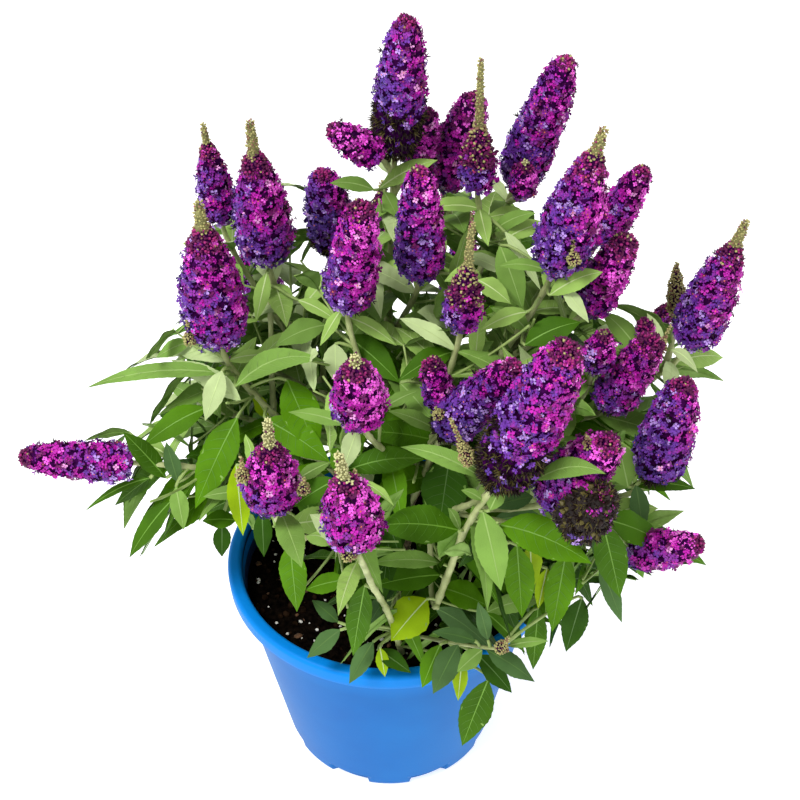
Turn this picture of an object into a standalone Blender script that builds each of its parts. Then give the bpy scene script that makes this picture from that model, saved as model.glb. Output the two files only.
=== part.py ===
"""A potted butterfly bush in full flower, as separate named solids.

Metres, +Z up. The origin is the centre of the pot's flat underside, -Y is the side that faces the viewer.
The pot holds potting soil. A short woody crown stands in the soil and forks into slim boughs, and every
bough carries one mass: leafy shoots with opposite pairs of lance-shaped leaves and flower spikes at their tips.
"""

import math
import random
from collections import namedtuple

import bmesh
import bpy
import numpy as np
from mathutils import Matrix, Vector
from mathutils.bvhtree import BVHTree

GAP = 0.0003  # between solids that touch on the real plant

# Pot
POT_HEIGHT = 0.190
RIM_RADIUS = 0.130
RIM_LEDGE = 0.0112  # width of the flat rim, seen from above
RIM_DEPTH = 0.014
RIM_ROUND = 0.0035
RIM_OVERHANG = 0.0095
BASE_RADIUS = 0.087
POT_WALL = 0.0025
POT_FLOOR = 0.006
BASE_ROUND = 0.003
THICK_CORNER = 0.011  # the wall is this thick at its foot, where the drain notches are
CORNER_HEIGHT = 0.020
NOTCHES = 8
NOTCH_WIDTH = 0.030
NOTCH_HEIGHT = 0.012
NOTCH_DEPTH = 0.005
POT_STEPS = 36

# Soil
SOIL_TOP = 0.166
SOIL_CROWN = 0.004  # how far the middle of the soil stands above its edge
SOIL_STEPS = 30

# Woody crown and boughs
TRUNK_FOOT_RADIUS = 0.023
TRUNK_WAIST_RADIUS = 0.0145
TRUNK_HEAD_RADIUS = 0.0185
TRUNK_HEIGHT = 0.032
TRUNK_STEPS = 14
OUTER_SEATS_RADIUS = 0.0147  # boughs stand on the trunk's head in two rings
INNER_SEATS_RADIUS = 0.0071
INNER_REACH = 0.121  # boughs whose first bloom is nearer the middle than this stand on the inner ring
BOUGH_FOOT_RADIUS = 0.0031
BOUGH_TIP_RADIUS = 0.0025
BOUGH_SHARE = 0.27  # of the way from the trunk to the first bloom
BOUGH_POINTS = 4
BOUGH_FOOT_LENGTH = 0.005  # each one stands upright for this far

# Shoots
STEM_RADIUS = 0.0023
STEM_TIP_RADIUS = 0.0015
SHOOT_POINTS = 5
SAMPLE_STEP = 0.008

# Leaves
LOW_INTERNODE = 0.040  # in masses whose first bloom is low
HIGH_INTERNODE = 0.032
HIGH_UP = 0.392
LEAF_LENGTH = 0.084
LEAF_TOP_SHARE = 0.60  # the last leaves under a bloom against the first ones
LEAF_WIDTH_SHARE = 0.34
LEAF_THICK_SHARE = 0.022
LEAF_WIDEST = 0.42  # of the way from root to tip
LEAF_SINK = 0.0010  # how far back along its stem's middle line a leaf is rooted
LEAF_TRIES = 14
SPRIG_LENGTH = 0.062
SPRIG_RADIUS = 0.0011
SPRIG_SHARES = (0.34, 0.64)  # where sprigs leave a shoot
SPRIG_TRIES = 12
TWIG_CLEARANCE = 0.0045
SPACE_MARGIN = 0.0022  # between the spaces of two masses
GUARD_REACH = 0.080
LIMB_CLEARANCE = 0.0075

# Leaves stay under a cone, which the spikes stand out of
ROOF_HEIGHT = 0.590
ROOF_SLOPE = 0.85

# No leaf hangs over the pot's mouth between these bearings, below this height
BARE_FROM = -178
BARE_TO = -116
BARE_BELOW = 0.270

# Flower spikes
SPIKE_SIDES = 6
SPIKE_RINGS = 5
SPIKE_KNOBS = 0.10  # how far the surface goes in and out, as a share of the radius

# A bloom stands at (around, out, up) and points to (lean from the vertical, bearing toward). Angles are in
# degrees, 0 is +X and 90 is +Y. tail is the share of its length that is a thin spike of buds.
Bloom = namedtuple("Bloom", "around out up lean toward length girth tail")

# A leafy tip is the end of a shoot without flowers.
Tip = namedtuple("Tip", "around out up lean toward")

# A mass has one stem, to its first end. Its other ends are side shoots, each from a share of that stem.
Side = namedtuple("Side", "share end")
Mass = namedtuple("Mass", "main sides")

MASSES = {
    "crown_top": Mass(
        Bloom(85, 0.065, 0.523, 19, -79, 0.125, 0.039, 0.06),
        (
            Side(0.88, Bloom(98, 0.045, 0.530, 48, -146, 0.050, 0.028, 0.06)),
            Side(0.84, Bloom(80, 0.076, 0.507, 23, -60, 0.052, 0.025, 0.06)),
            Side(0.46, Bloom(4, 0.023, 0.462, 13, -93, 0.100, 0.036, 0.06)),
            Side(0.40, Tip(-150, 0.060, 0.345, 50, -150)),
            Side(0.50, Tip(96, 0.105, 0.430, 50, 96)),
        ),
    ),
    "upper_back_right": Mass(
        Bloom(37, 0.116, 0.496, 24, -64, 0.130, 0.040, 0.06),
        (
            Side(0.66, Bloom(67, 0.104, 0.476, 22, -54, 0.090, 0.032, 0.06)),
            Side(0.72, Bloom(32, 0.074, 0.507, 18, -95, 0.125, 0.020, 0.45)),
            Side(0.90, Bloom(26, 0.105, 0.500, 20, -92, 0.035, 0.024, 0.10)),
            Side(0.48, Tip(58, 0.115, 0.415, 50, 60)),
        ),
    ),
    "upper_right": Mass(
        Bloom(-6, 0.115, 0.477, 20, -69, 0.140, 0.046, 0.16),
        (
            Side(0.50, Bloom(21, 0.165, 0.452, 25, -53, 0.085, 0.032, 0.06)),
            Side(0.60, Bloom(-2, 0.141, 0.438, 22, -53, 0.080, 0.036, 0.06)),
            Side(0.44, Tip(32, 0.130, 0.370, 60, 30)),
        ),
    ),
    "far_right": Mass(
        Bloom(1, 0.218, 0.401, 15, -56, 0.125, 0.038, 0.16),
        (
            Side(0.80, Bloom(0, 0.189, 0.397, 26, -122, 0.040, 0.023, 0.06)),
            Side(0.84, Bloom(9, 0.214, 0.404, 11, -131, 0.052, 0.012, 0.60)),
            Side(0.56, Bloom(-12, 0.161, 0.371, 22, -41, 0.100, 0.036, 0.06)),
            Side(0.50, Bloom(-18, 0.150, 0.419, 20, -80, 0.045, 0.026, 0.10)),
            Side(0.48, Tip(4, 0.138, 0.318, 76, 4)),
        ),
    ),
    "right_front": Mass(
        Bloom(-27, 0.206, 0.363, 11, -67, 0.095, 0.044, 0.06),
        (
            Side(0.64, Bloom(-38, 0.214, 0.318, 51, -37, 0.060, 0.032, 0.06)),
            Side(0.46, Tip(-36, 0.118, 0.262, 84, -32)),
            Side(0.52, Tip(-13, 0.122, 0.285, 76, -10)),
        ),
    ),
    "front_right": Mass(
        Bloom(-64, 0.165, 0.406, 19, -42, 0.145, 0.054, 0.06),
        (
            Side(0.60, Bloom(-50, 0.183, 0.384, 22, -51, 0.085, 0.038, 0.06)),
            Side(0.56, Bloom(-54, 0.210, 0.380, 27, -57, 0.055, 0.042, 0.10)),
            Side(0.44, Tip(-74, 0.125, 0.255, 88, -70)),
            Side(0.48, Tip(-54, 0.130, 0.262, 88, -50)),
        ),
    ),
    "front_middle": Mass(
        Bloom(-65, 0.092, 0.393, 34, -38, 0.100, 0.037, 0.06),
        (
            Side(0.76, Bloom(-72, 0.078, 0.405, 12, 205, 0.045, 0.024, 0.10)),
            Side(0.50, Bloom(-47, 0.073, 0.458, 11, -77, 0.095, 0.027, 0.42)),
            Side(0.48, Bloom(-133, 0.039, 0.457, 16, -64, 0.100, 0.038, 0.06)),
            Side(0.56, Bloom(-97, 0.129, 0.431, 17, -97, 0.080, 0.036, 0.14)),
            Side(0.42, Tip(-92, 0.100, 0.335, 60, -92)),
            Side(0.38, Tip(-86, 0.122, 0.255, 86, -84)),
            Side(0.40, Tip(-50, 0.085, 0.325, 60, -45)),
        ),
    ),
    "upper_left": Mass(
        Bloom(159, 0.091, 0.451, 12, -97, 0.130, 0.043, 0.20),
        (
            Side(0.54, Bloom(151, 0.138, 0.463, 10, -107, 0.090, 0.028, 0.20)),
            Side(0.50, Bloom(111, 0.114, 0.416, 19, -103, 0.085, 0.034, 0.06)),
            Side(0.46, Tip(162, 0.130, 0.370, 60, 165)),
        ),
    ),
    "left": Mass(
        Bloom(-165, 0.120, 0.422, 12, -91, 0.140, 0.046, 0.16),
        (
            Side(0.50, Tip(182, 0.140, 0.350, 64, 182)),
            Side(0.40, Tip(172, 0.125, 0.285, 84, 172)),
        ),
    ),
    "far_left": Mass(
        Bloom(-157, 0.192, 0.355, 81, -168, 0.086, 0.033, 0.10),
        (
            Side(0.48, Tip(-152, 0.130, 0.310, 76, -155)),
            Side(0.50, Tip(-140, 0.120, 0.345, 50, -140)),
        ),
    ),
    "front_left": Mass(
        Bloom(-114, 0.177, 0.391, 11, -80, 0.090, 0.036, 0.26),
        (
            Side(0.56, Bloom(-95, 0.200, 0.392, 12, -119, 0.095, 0.037, 0.28)),
            Side(0.42, Tip(-104, 0.120, 0.262, 82, -104)),
            Side(0.48, Tip(-118, 0.125, 0.315, 66, -118)),
        ),
    ),
    "back_left": Mass(
        Bloom(126, 0.160, 0.318, 22, 128, 0.095, 0.040, 0.12),
        (
            Side(0.48, Bloom(150, 0.165, 0.268, 30, 152, 0.085, 0.036, 0.10)),
            Side(0.44, Tip(142, 0.125, 0.265, 84, 145)),
        ),
    ),
    "back": Mass(
        Bloom(92, 0.135, 0.350, 14, 90, 0.095, 0.040, 0.10),
        (
            Side(0.46, Bloom(107, 0.200, 0.275, 44, 108, 0.090, 0.036, 0.10)),
            Side(0.50, Bloom(74, 0.195, 0.290, 38, 72, 0.092, 0.036, 0.12)),
            Side(0.42, Tip(90, 0.130, 0.262, 84, 90)),
        ),
    ),
    "back_right": Mass(
        Bloom(50, 0.190, 0.320, 30, 48, 0.098, 0.040, 0.10),
        (
            Side(0.50, Bloom(25, 0.200, 0.298, 34, 22, 0.090, 0.035, 0.12)),
            Side(0.44, Tip(40, 0.130, 0.262, 84, 40)),
        ),
    ),
}


def polar(around, out, up):
    angle = math.radians(around)
    return Vector((out * math.cos(angle), out * math.sin(angle), up))


def pointing(lean, toward):
    """The unit vector that leans this far from the vertical, towards that bearing."""
    tilt = math.radians(lean)
    flat = polar(toward, math.sin(tilt), 0.0)
    return Vector((flat.x, flat.y, math.cos(tilt)))


def foot_of(end):
    return polar(end.around, end.out, end.up)


def hermite(start, start_pull, finish, finish_pull, t):
    """A point of the cubic that leaves start along start_pull and reaches finish along finish_pull."""
    a = 2 * t**3 - 3 * t**2 + 1
    b = t**3 - 2 * t**2 + t
    c = -2 * t**3 + 3 * t**2
    d = t**3 - t**2
    return start * a + start_pull * b + finish * c + finish_pull * d


def curve_of(start, heading, finish, arrival, first=0.0, last=1.0, count=SHOOT_POINTS):
    """Points along the arching shoot from start to finish, between two shares of its length."""
    reach = (finish - start).length
    shares = [first + (last - first) * i / (count - 1) for i in range(count)]
    return [hermite(start, heading * reach, finish, arrival * reach * 0.8, t) for t in shares]


def seats():
    """Where each mass's bough stands on the trunk's head: high, central masses on the inner ring."""
    top = SOIL_TOP + SOIL_CROWN + GAP + TRUNK_HEIGHT + GAP
    found = {}
    for radius in (INNER_SEATS_RADIUS, OUTER_SEATS_RADIUS):
        inner = radius == INNER_SEATS_RADIUS
        names = [name for name, mass in MASSES.items() if (mass.main.out < INNER_REACH) == inner]
        names.sort(key=lambda name: MASSES[name].main.around % 360)
        first = MASSES[names[0]].main.around % 360
        for i, name in enumerate(names):
            found[name] = polar(first + 360 * i / len(names), radius, top)
    return found


SEATS = seats()


def main_curve(name, first, last, count=SHOOT_POINTS):
    """Points of a mass's main line, which is its bough and then its stem."""
    end = MASSES[name].main
    seat = SEATS[name]
    outward = (foot_of(end) - seat).normalized()
    heading = (Vector((0, 0, 1.0)) + outward * 0.45).normalized()
    return curve_of(seat, heading, foot_of(end), pointing(end.lean, end.toward), first, last, count)


def side_curve(name, side, count=SHOOT_POINTS):
    """Points of a side shoot, which forks off its mass's stem at a narrow angle."""
    start, ahead = main_curve(name, side.share, min(side.share + 0.02, 1.0), 2)
    finish = foot_of(side.end)
    heading = ((ahead - start).normalized() + (finish - start).normalized() * 1.4).normalized()
    return curve_of(start, heading, finish, pointing(side.end.lean, side.end.toward), 0, 1, count)


def shoots_of(name):
    """(end, points) for every shoot of a mass, its stem first."""
    mass = MASSES[name]
    lines = [(mass.main, main_curve(name, BOUGH_SHARE, 1.0))]
    return lines + [(side.end, side_curve(name, side)) for side in mass.sides]


# Space: every mass keeps to the points that are nearest to its own shoots and blooms.


def along(points, step):
    """Places along a polyline, one each step, as (place, direction, share of the whole length)."""
    lengths = [(b - a).length for a, b in zip(points, points[1:])]
    total = sum(lengths)
    count = max(1, int(total / step))
    found = []
    for i in range(count + 1):
        left = total * i / count
        for a, b, length in zip(points, points[1:], lengths):
            if left <= length or b is points[-1]:
                found.append((a.lerp(b, min(1.0, left / length)), (b - a).normalized(), i / count))
                break
            left -= length
    return found


def girth_share(share, tail):
    """A spike's radius against its greatest, at a share of its length. The last share, tail, is thin buds."""
    body = min(1.0, share / (1 - tail))
    foot = 0.60 + 0.40 * math.sin(math.pi / 2 * min(1.0, body / 0.22))
    shoulder = 1 - 0.62 * body**3.2 if share < 1 - tail else 0.0
    return max(foot * shoulder, 0.26 - 0.10 * share)


def guards():
    """Arrays of the places that shoots and blooms take up: the point, its radius, and its mass's number."""
    places, radii, owners = [], [], []
    for number, name in enumerate(MASSES):
        for end, points in shoots_of(name):
            for place, _, _ in along(points, SAMPLE_STEP):
                places.append(place)
                radii.append(STEM_RADIUS)
                owners.append(number)
            if isinstance(end, Tip):
                continue
            for i in range(10):
                share = (i + 0.5) / 10
                places.append(foot_of(end) + pointing(end.lean, end.toward) * end.length * share)
                radii.append(end.girth / 2 * girth_share(share, end.tail) * (1 + SPIKE_KNOBS))
                owners.append(number)
    return np.array(places), np.array(radii), np.array(owners)


GUARD_PLACES, GUARD_RADII, GUARD_OWNERS = guards()
BOUGH_PLACES = np.array([p for name in MASSES for p, _, _ in along(main_curve(name, 0, BOUGH_SHARE), SAMPLE_STEP)])


def in_crown(point):
    """Whether a point is under the crown's roof, and clear of the pot, the trunk and the pot's bare side."""
    out = math.hypot(point[0], point[1])
    if point[2] > ROOF_HEIGHT - ROOF_SLOPE * out:
        return False
    if point[2] < BARE_BELOW and BARE_FROM < math.degrees(math.atan2(point[1], point[0])) < BARE_TO:
        return False
    if point[2] > POT_HEIGHT + 0.004:
        return out > TRUNK_HEAD_RADIUS + 0.010 or point[2] > SOIL_TOP + TRUNK_HEIGHT + 0.012
    beside = out > RIM_RADIUS + 0.005 and point[2] > 0.012
    inside = TRUNK_FOOT_RADIUS + 0.008 < out < RIM_RADIUS - RIM_LEDGE - 0.006
    return beside or (inside and point[2] > SOIL_TOP + SOIL_CROWN + 0.004)


def space_for(owner, spots, root, length, clearance):
    """Whether points lie in a mass's space, this far from its own shoots, and clear of all limbs and the pot."""
    near = np.linalg.norm(GUARD_PLACES - np.array(root), axis=1) < length + GUARD_REACH
    apart = np.linalg.norm(spots[:, None] - GUARD_PLACES[near][None], axis=2) - GUARD_RADII[near]
    own = GUARD_OWNERS[near] == owner
    if not own.all() and (apart[:, own].min(axis=1) + SPACE_MARGIN > apart[:, ~own].min(axis=1)).any():
        return False
    if apart[spots.shape[0] // 4 :, own].min() < clearance:
        return False
    from_boughs = np.linalg.norm(spots[:, None] - BOUGH_PLACES[None], axis=2).min()
    return from_boughs > LIMB_CLEARANCE and all(in_crown(spot) for spot in spots)


def keeps_to(owner, leaf):
    """Whether a leaf lies in its mass's space."""
    return space_for(owner, np.array(leaf_samples(leaf)), leaf.root, leaf.length, TWIG_CLEARANCE)


# Leaves: opposite pairs, each pair a quarter turn on from the last.

Leaf = namedtuple("Leaf", "root ahead across face length width droop")


def leaf_at(place, heading, turn, share, size, rng):
    """One leaf, which stands out from its shoot on the side that turn gives."""
    out = heading.orthogonal().normalized()
    out.rotate(Matrix.Rotation(turn, 3, heading))
    spread = math.radians(rng.uniform(54, 80))
    ahead = heading * math.cos(spread) + out * math.sin(spread)
    ahead.z -= 0.05 + 0.10 * (1 - share)
    ahead.normalize()
    across = heading.cross(ahead).normalized()
    face = ahead.cross(across).normalized()
    if face.z < 0:
        face, across = -face, -across
    length = size * rng.uniform(0.9, 1.1)
    width = length * LEAF_WIDTH_SHARE * rng.uniform(0.85, 1.15)
    return Leaf(place - heading * LEAF_SINK, ahead, across, face, length, width, rng.uniform(0.12, 0.32))


def leaf_point(leaf, along_share, across_share, lift=0.0):
    """A point of the leaf's blade: it arches down towards its tip."""
    forward = leaf.length * along_share
    sag = leaf.droop * leaf.length * along_share**2
    side = leaf.width / 2 * across_share
    return leaf.root + leaf.ahead * forward - Vector((0, 0, sag)) + leaf.across * side + leaf.face * lift


def leaf_samples(leaf):
    """Points all over the blade, from its root outwards."""
    shares = [i / 7 for i in range(1, 8)]
    return [leaf_point(leaf, s, side * math.sin(math.pi * s**0.85)) for s in shares for side in (-1, 0, 1)]


def leaf_outline(leaf):
    """The blade as a kite, without its root, for telling whether two leaves cross."""
    corners = [leaf_point(leaf, 0.14, 0), leaf_point(leaf, LEAF_WIDEST, 1.1), leaf_point(leaf, 1.02, 0)]
    corners.append(leaf_point(leaf, LEAF_WIDEST, -1.1))
    return BVHTree.FromPolygons(corners, [(0, 1, 3), (1, 2, 3)])


def sprigs_of(number, name, rng):
    """The leafy twigs that fork off a mass's shoots, each one as its points, where there is space."""
    grown = []
    for i, (_, points) in enumerate(shoots_of(name)):
        stops = along(points, SAMPLE_STEP)
        for share in SPRIG_SHARES:
            place, heading, _ = stops[round(share * (len(stops) - 1))]
            for attempt in range(SPRIG_TRIES):
                turn = Matrix.Rotation(rng.uniform(0, 2 * math.pi), 3, heading)
                lean = math.radians(rng.uniform(38, 62))
                ahead = heading * math.cos(lean) + turn @ heading.orthogonal().normalized() * math.sin(lean)
                length = SPRIG_LENGTH * rng.uniform(0.75, 1.2) * (1 - 0.3 * attempt / SPRIG_TRIES)
                rise = Vector((0, 0, 0.18 * length))
                twig = [place + ahead * length * s + rise * s**2 for s in (0.0, 0.5, 1.0)]
                ends = np.array([twig[0].lerp(twig[1], 0.7), twig[1], twig[1].lerp(twig[2], 0.5), twig[2]])
                others = [p for other in grown for p, _, _ in along(other, SAMPLE_STEP)]
                apart = np.linalg.norm(ends[:, None] - np.array(others)[None], axis=2) if others else np.ones(1)
                if space_for(number, ends, place, length, 3 * TWIG_CLEARANCE) and apart.min() > 3 * TWIG_CLEARANCE:
                    grown.append(twig)
                    break
    return grown


def leaves_of(number, lines, rng):
    """The leaves along a mass's shoots and sprigs: at each place a few turns and smaller sizes are tried."""
    grown, outlines = [], []
    internode = HIGH_INTERNODE if list(MASSES.values())[number].main.up > HIGH_UP else LOW_INTERNODE
    for i, points in enumerate(lines):
        turn = rng.uniform(0, math.pi)
        first = 0.03 if i == 0 else 0.12
        for place, heading, share in along(points, internode):
            turn += math.pi / 2
            if share < first:
                continue
            size = LEAF_LENGTH * (1 - (1 - LEAF_TOP_SHARE) * share**1.5)
            for side in (0, math.pi):
                for attempt in range(LEAF_TRIES):
                    smaller = 1 - 0.42 * attempt / LEAF_TRIES
                    swing = rng.uniform(-1, 1) * min(1.5, 0.2 + 0.2 * attempt)
                    leaf = leaf_at(place, heading, turn + side + swing, share, size * smaller, rng)
                    outline = leaf_outline(leaf)
                    if keeps_to(number, leaf) and not any(outline.overlap(other) for other in outlines):
                        grown.append(leaf)
                        outlines.append(outline)
                        break
    return grown


def leaf_object(leaf, name):
    """A thin pointed solid with six faces: a three-sided ball drawn out to root, tip, two edges and a keel."""
    mesh = bmesh.new()
    bmesh.ops.create_uvsphere(mesh, u_segments=3, v_segments=2, radius=1.0)
    for vert in mesh.verts:
        if abs(vert.co.z) > 0.5:
            vert.co = leaf_point(leaf, 0.0 if vert.co.z < 0 else 1.0, 0.0)
        elif vert.co.y < 0:
            vert.co = leaf_point(leaf, LEAF_WIDEST, math.copysign(1.0, -vert.co.x))
        else:
            vert.co = leaf_point(leaf, LEAF_WIDEST, 0.0, -leaf.length * LEAF_THICK_SHARE)
    return object_of(mesh, name)


# Making objects


def object_of(mesh, name, collection=None):
    data = bpy.data.meshes.new(name)
    mesh.to_mesh(data)
    mesh.free()
    made = bpy.data.objects.new(name, data)
    (collection or PLANT).objects.link(made)
    return made


def material(name, colour, roughness, metallic=0.0):
    made = bpy.data.materials.new(name)
    made.use_nodes = True
    shader = made.node_tree.nodes["Principled BSDF"]
    shader.inputs["Base Color"].default_value = (*colour, 1.0)
    shader.inputs["Roughness"].default_value = roughness
    shader.inputs["Metallic"].default_value = metallic
    return made


def tube_curve(name, points, first_radius, last_radius, resolution=1, profile=None):
    """A tapering limb as a curve with filled caps. profile is a curve that gives its cross-section."""
    data = bpy.data.curves.new(name, "CURVE")
    data.dimensions = "3D"
    data.use_fill_caps = True
    data.use_radius = True
    data.bevel_resolution = resolution
    if profile:
        data.bevel_mode = "OBJECT"
        data.bevel_object = profile
    else:
        data.bevel_depth = 1.0
    spline = data.splines.new("POLY")
    spline.points.add(len(points) - 1)
    for i, (point, place) in enumerate(zip(spline.points, points)):
        point.co = (*place, 1.0)
        point.radius = first_radius + (last_radius - first_radius) * i / (len(points) - 1)
    made = bpy.data.objects.new(name, data)
    PLANT.objects.link(made)
    return made


def three_sided():
    """The cross-section of every twig: a triangle of radius 1."""
    data = bpy.data.curves.new("twig_section", "CURVE")
    data.dimensions = "2D"
    spline = data.splines.new("POLY")
    spline.points.add(2)
    for i, point in enumerate(spline.points):
        angle = 2 * math.pi * i / 3
        point.co = (math.cos(angle), math.sin(angle), 0, 1)
    spline.use_cyclic_u = True
    made = bpy.data.objects.new("twig_section", data)
    made.hide_render = True
    GUIDES.objects.link(made)
    return made


def as_mesh(curve):
    """The closed mesh of a curve object, which is removed."""
    bpy.context.view_layer.update()
    graph = bpy.context.evaluated_depsgraph_get()
    data = bpy.data.meshes.new_from_object(curve.evaluated_get(graph))
    mesh = bmesh.new()
    mesh.from_mesh(data)
    bmesh.ops.remove_doubles(mesh, verts=mesh.verts, dist=1e-5)
    bmesh.ops.recalc_face_normals(mesh, faces=mesh.faces)
    name = curve.name
    bpy.data.objects.remove(curve)
    made = object_of(mesh, name)
    made.name = name
    return made


def turned(name, profile, steps, ring=False):
    """A solid of revolution about Z, from a profile at +X that runs down its outer side."""
    mesh = bmesh.new()
    verts = [mesh.verts.new((x, 0, z)) for x, z in profile]
    for a, b in zip(verts, verts[1:] + verts[:1] if ring else verts[1:]):
        mesh.edges.new((a, b))
    made = object_of(mesh, name)
    screw = made.modifiers.new("turn", "SCREW")
    screw.axis = "Z"
    screw.angle = 2 * math.pi
    screw.steps = screw.render_steps = steps
    screw.use_merge_vertices = True
    screw.merge_threshold = 0.00005
    return made


# Pot, soil and trunk


def outer_wall(height):
    """The pot's outer radius below its rim."""
    top = POT_HEIGHT - RIM_DEPTH
    share = height / top
    return BASE_RADIUS + (RIM_RADIUS - RIM_OVERHANG - BASE_RADIUS) * share


def arc(centre_x, centre_z, radius, first, last, count=3):
    """Points of a quarter round, from one angle to another in degrees."""
    angles = [math.radians(first + (last - first) * i / (count - 1)) for i in range(count)]
    return [(centre_x + radius * math.cos(a), centre_z + radius * math.sin(a)) for a in angles]


def make_pot():
    """A tapered nursery pot: rounded ledge rim, thin wall, flat floor and drain notches round its foot."""
    inner_lip = RIM_RADIUS - RIM_LEDGE
    rim_foot = POT_HEIGHT - RIM_DEPTH
    outside = arc(inner_lip + RIM_ROUND, POT_HEIGHT - RIM_ROUND, RIM_ROUND, 180, 90)
    outside += arc(RIM_RADIUS - RIM_ROUND, POT_HEIGHT - RIM_ROUND, RIM_ROUND, 90, 0)
    outside += [(RIM_RADIUS, rim_foot), (outer_wall(rim_foot), rim_foot - 0.001)]
    outside += [(outer_wall(CORNER_HEIGHT), CORNER_HEIGHT), (outer_wall(0) + 0.0005, BASE_ROUND), (BASE_RADIUS - BASE_ROUND, 0.0)]
    inside = [(outer_wall(0) - THICK_CORNER, POT_FLOOR), (outer_wall(CORNER_HEIGHT) - POT_WALL, CORNER_HEIGHT)]
    inside += [(outer_wall(rim_foot) - POT_WALL, rim_foot - 0.004)]
    floor = [(0.0, POT_FLOOR)]
    pot = turned("pot", floor + inside + outside + [(0.0, 0.0)], POT_STEPS)
    pot.data.materials.append(material("pot_blue", (0.030, 0.235, 0.745), 0.38))
    for i in range(NOTCHES):
        cutter = notch_cutter(360 * (i + 0.5) / NOTCHES)
        cut = pot.modifiers.new(f"notch_{i}", "BOOLEAN")
        cut.operation = "DIFFERENCE"
        cut.object = cutter
    return pot


def notch_cutter(around):
    """A block that takes a shallow notch out of the pot's foot."""
    mesh = bmesh.new()
    bmesh.ops.create_cube(mesh, size=1.0)
    size = Matrix.Diagonal((NOTCH_DEPTH * 3, NOTCH_WIDTH, NOTCH_HEIGHT * 2, 1))
    reach = BASE_RADIUS - NOTCH_DEPTH + NOTCH_DEPTH * 1.5
    turn = Matrix.Rotation(math.radians(around), 4, "Z")
    mesh.transform(turn @ Matrix.Translation((reach, 0, 0)) @ size)
    cutter = object_of(mesh, f"notch_cutter_{around:.0f}", GUIDES)
    cutter.hide_render = True
    cutter.display_type = "WIRE"
    return cutter


def make_soil():
    """The potting mix, which fills the pot to a little under its rim."""
    floor = POT_FLOOR + GAP
    edge = outer_wall(SOIL_TOP) - POT_WALL - 2 * GAP
    corner = (outer_wall(CORNER_HEIGHT) - POT_WALL - 2 * GAP, CORNER_HEIGHT)
    foot = (outer_wall(0) - THICK_CORNER - 2 * GAP, floor)
    profile = [(0.0, SOIL_TOP + SOIL_CROWN), (edge * 0.55, SOIL_TOP + SOIL_CROWN * 0.8), (edge, SOIL_TOP)]
    soil = turned("potting_soil", profile + [corner, foot, (0.0, floor)], SOIL_STEPS)
    soil.data.materials.append(material("soil_dark", (0.018, 0.012, 0.009), 0.95))


def make_trunk():
    """The woody crown: flared where it meets the soil, knuckled where it forks."""
    foot = SOIL_TOP + SOIL_CROWN + GAP
    head = foot + TRUNK_HEIGHT
    profile = [(0.0, head), (TRUNK_HEAD_RADIUS, head), (TRUNK_HEAD_RADIUS, head - 0.006)]
    profile += [(TRUNK_WAIST_RADIUS, foot + TRUNK_HEIGHT * 0.45), (TRUNK_WAIST_RADIUS * 1.12, foot + 0.006)]
    trunk = turned("trunk", profile + [(TRUNK_FOOT_RADIUS, foot), (0.0, foot)], TRUNK_STEPS)
    trunk.data.materials.append(BARK)


def make_bough(name):
    """One tapering limb, from the trunk's head to where it enters its mass."""
    points = main_curve(name, 0.0, BOUGH_SHARE, BOUGH_POINTS)
    points.insert(1, points[0] + Vector((0, 0, BOUGH_FOOT_LENGTH)))
    last = points[-1] - points[-2]
    points[-1] = points[-1] - last.normalized() * GAP
    bough = tube_curve("bough_" + name, points, BOUGH_FOOT_RADIUS, BOUGH_TIP_RADIUS)
    bough.data.materials.append(BARK)


# Masses


def spike_object(bloom, name, rng):
    """A flower spike: a ball of rings drawn out along its axis, with knobs where clusters of florets stand out."""
    mesh = bmesh.new()
    bmesh.ops.create_uvsphere(mesh, u_segments=SPIKE_SIDES, v_segments=SPIKE_RINGS, radius=1.0)
    axis = pointing(bloom.lean, bloom.toward)
    turn = Vector((0, 0, 1)).rotation_difference(axis).to_matrix()
    foot = foot_of(bloom)
    for vert in mesh.verts:
        share = (1 + vert.co.z) / 2
        flat = Vector((vert.co.x, vert.co.y, 0))
        if flat.length > 1e-4:
            knob = 1 + rng.uniform(-SPIKE_KNOBS, SPIKE_KNOBS)
            flat = flat.normalized() * bloom.girth / 2 * girth_share(share, bloom.tail) * knob
        vert.co = foot + turn @ (flat + Vector((0, 0, bloom.length * share)))
    return object_of(mesh, name)


def make_mass(name, number, section):
    """A mass as one solid: its stem, side shoots, sprigs, leaves and spikes, joined."""
    rng = random.Random(100 + number)
    pieces = []
    shoots = shoots_of(name)
    sprigs = sprigs_of(number, name, rng)
    for i, (end, points) in enumerate(shoots):
        first = STEM_RADIUS if i == 0 else STEM_RADIUS * 0.85
        if isinstance(end, Bloom):
            points = points + [points[-1] + pointing(end.lean, end.toward) * end.length * 0.3]
        pieces.append(as_mesh(tube_curve(f"{name}_shoot_{i}", points, first, STEM_TIP_RADIUS, 0, section)))
        if isinstance(end, Bloom):
            pieces.append(spike_object(end, f"{name}_spike_{i}", rng))
    for i, points in enumerate(sprigs):
        twig = tube_curve(f"{name}_sprig_{i}", points, SPRIG_RADIUS, SPRIG_RADIUS, 0, section)
        pieces.append(as_mesh(twig))
    leaves = leaves_of(number, [points for _, points in shoots] + sprigs, rng)
    pieces += [leaf_object(leaf, f"{name}_leaf") for leaf in leaves]
    body = joined("mass_" + name, pieces)
    body.data.materials.clear()
    body.data.materials.append(FOLIAGE)
    return len(sprigs), len(leaves)


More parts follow.
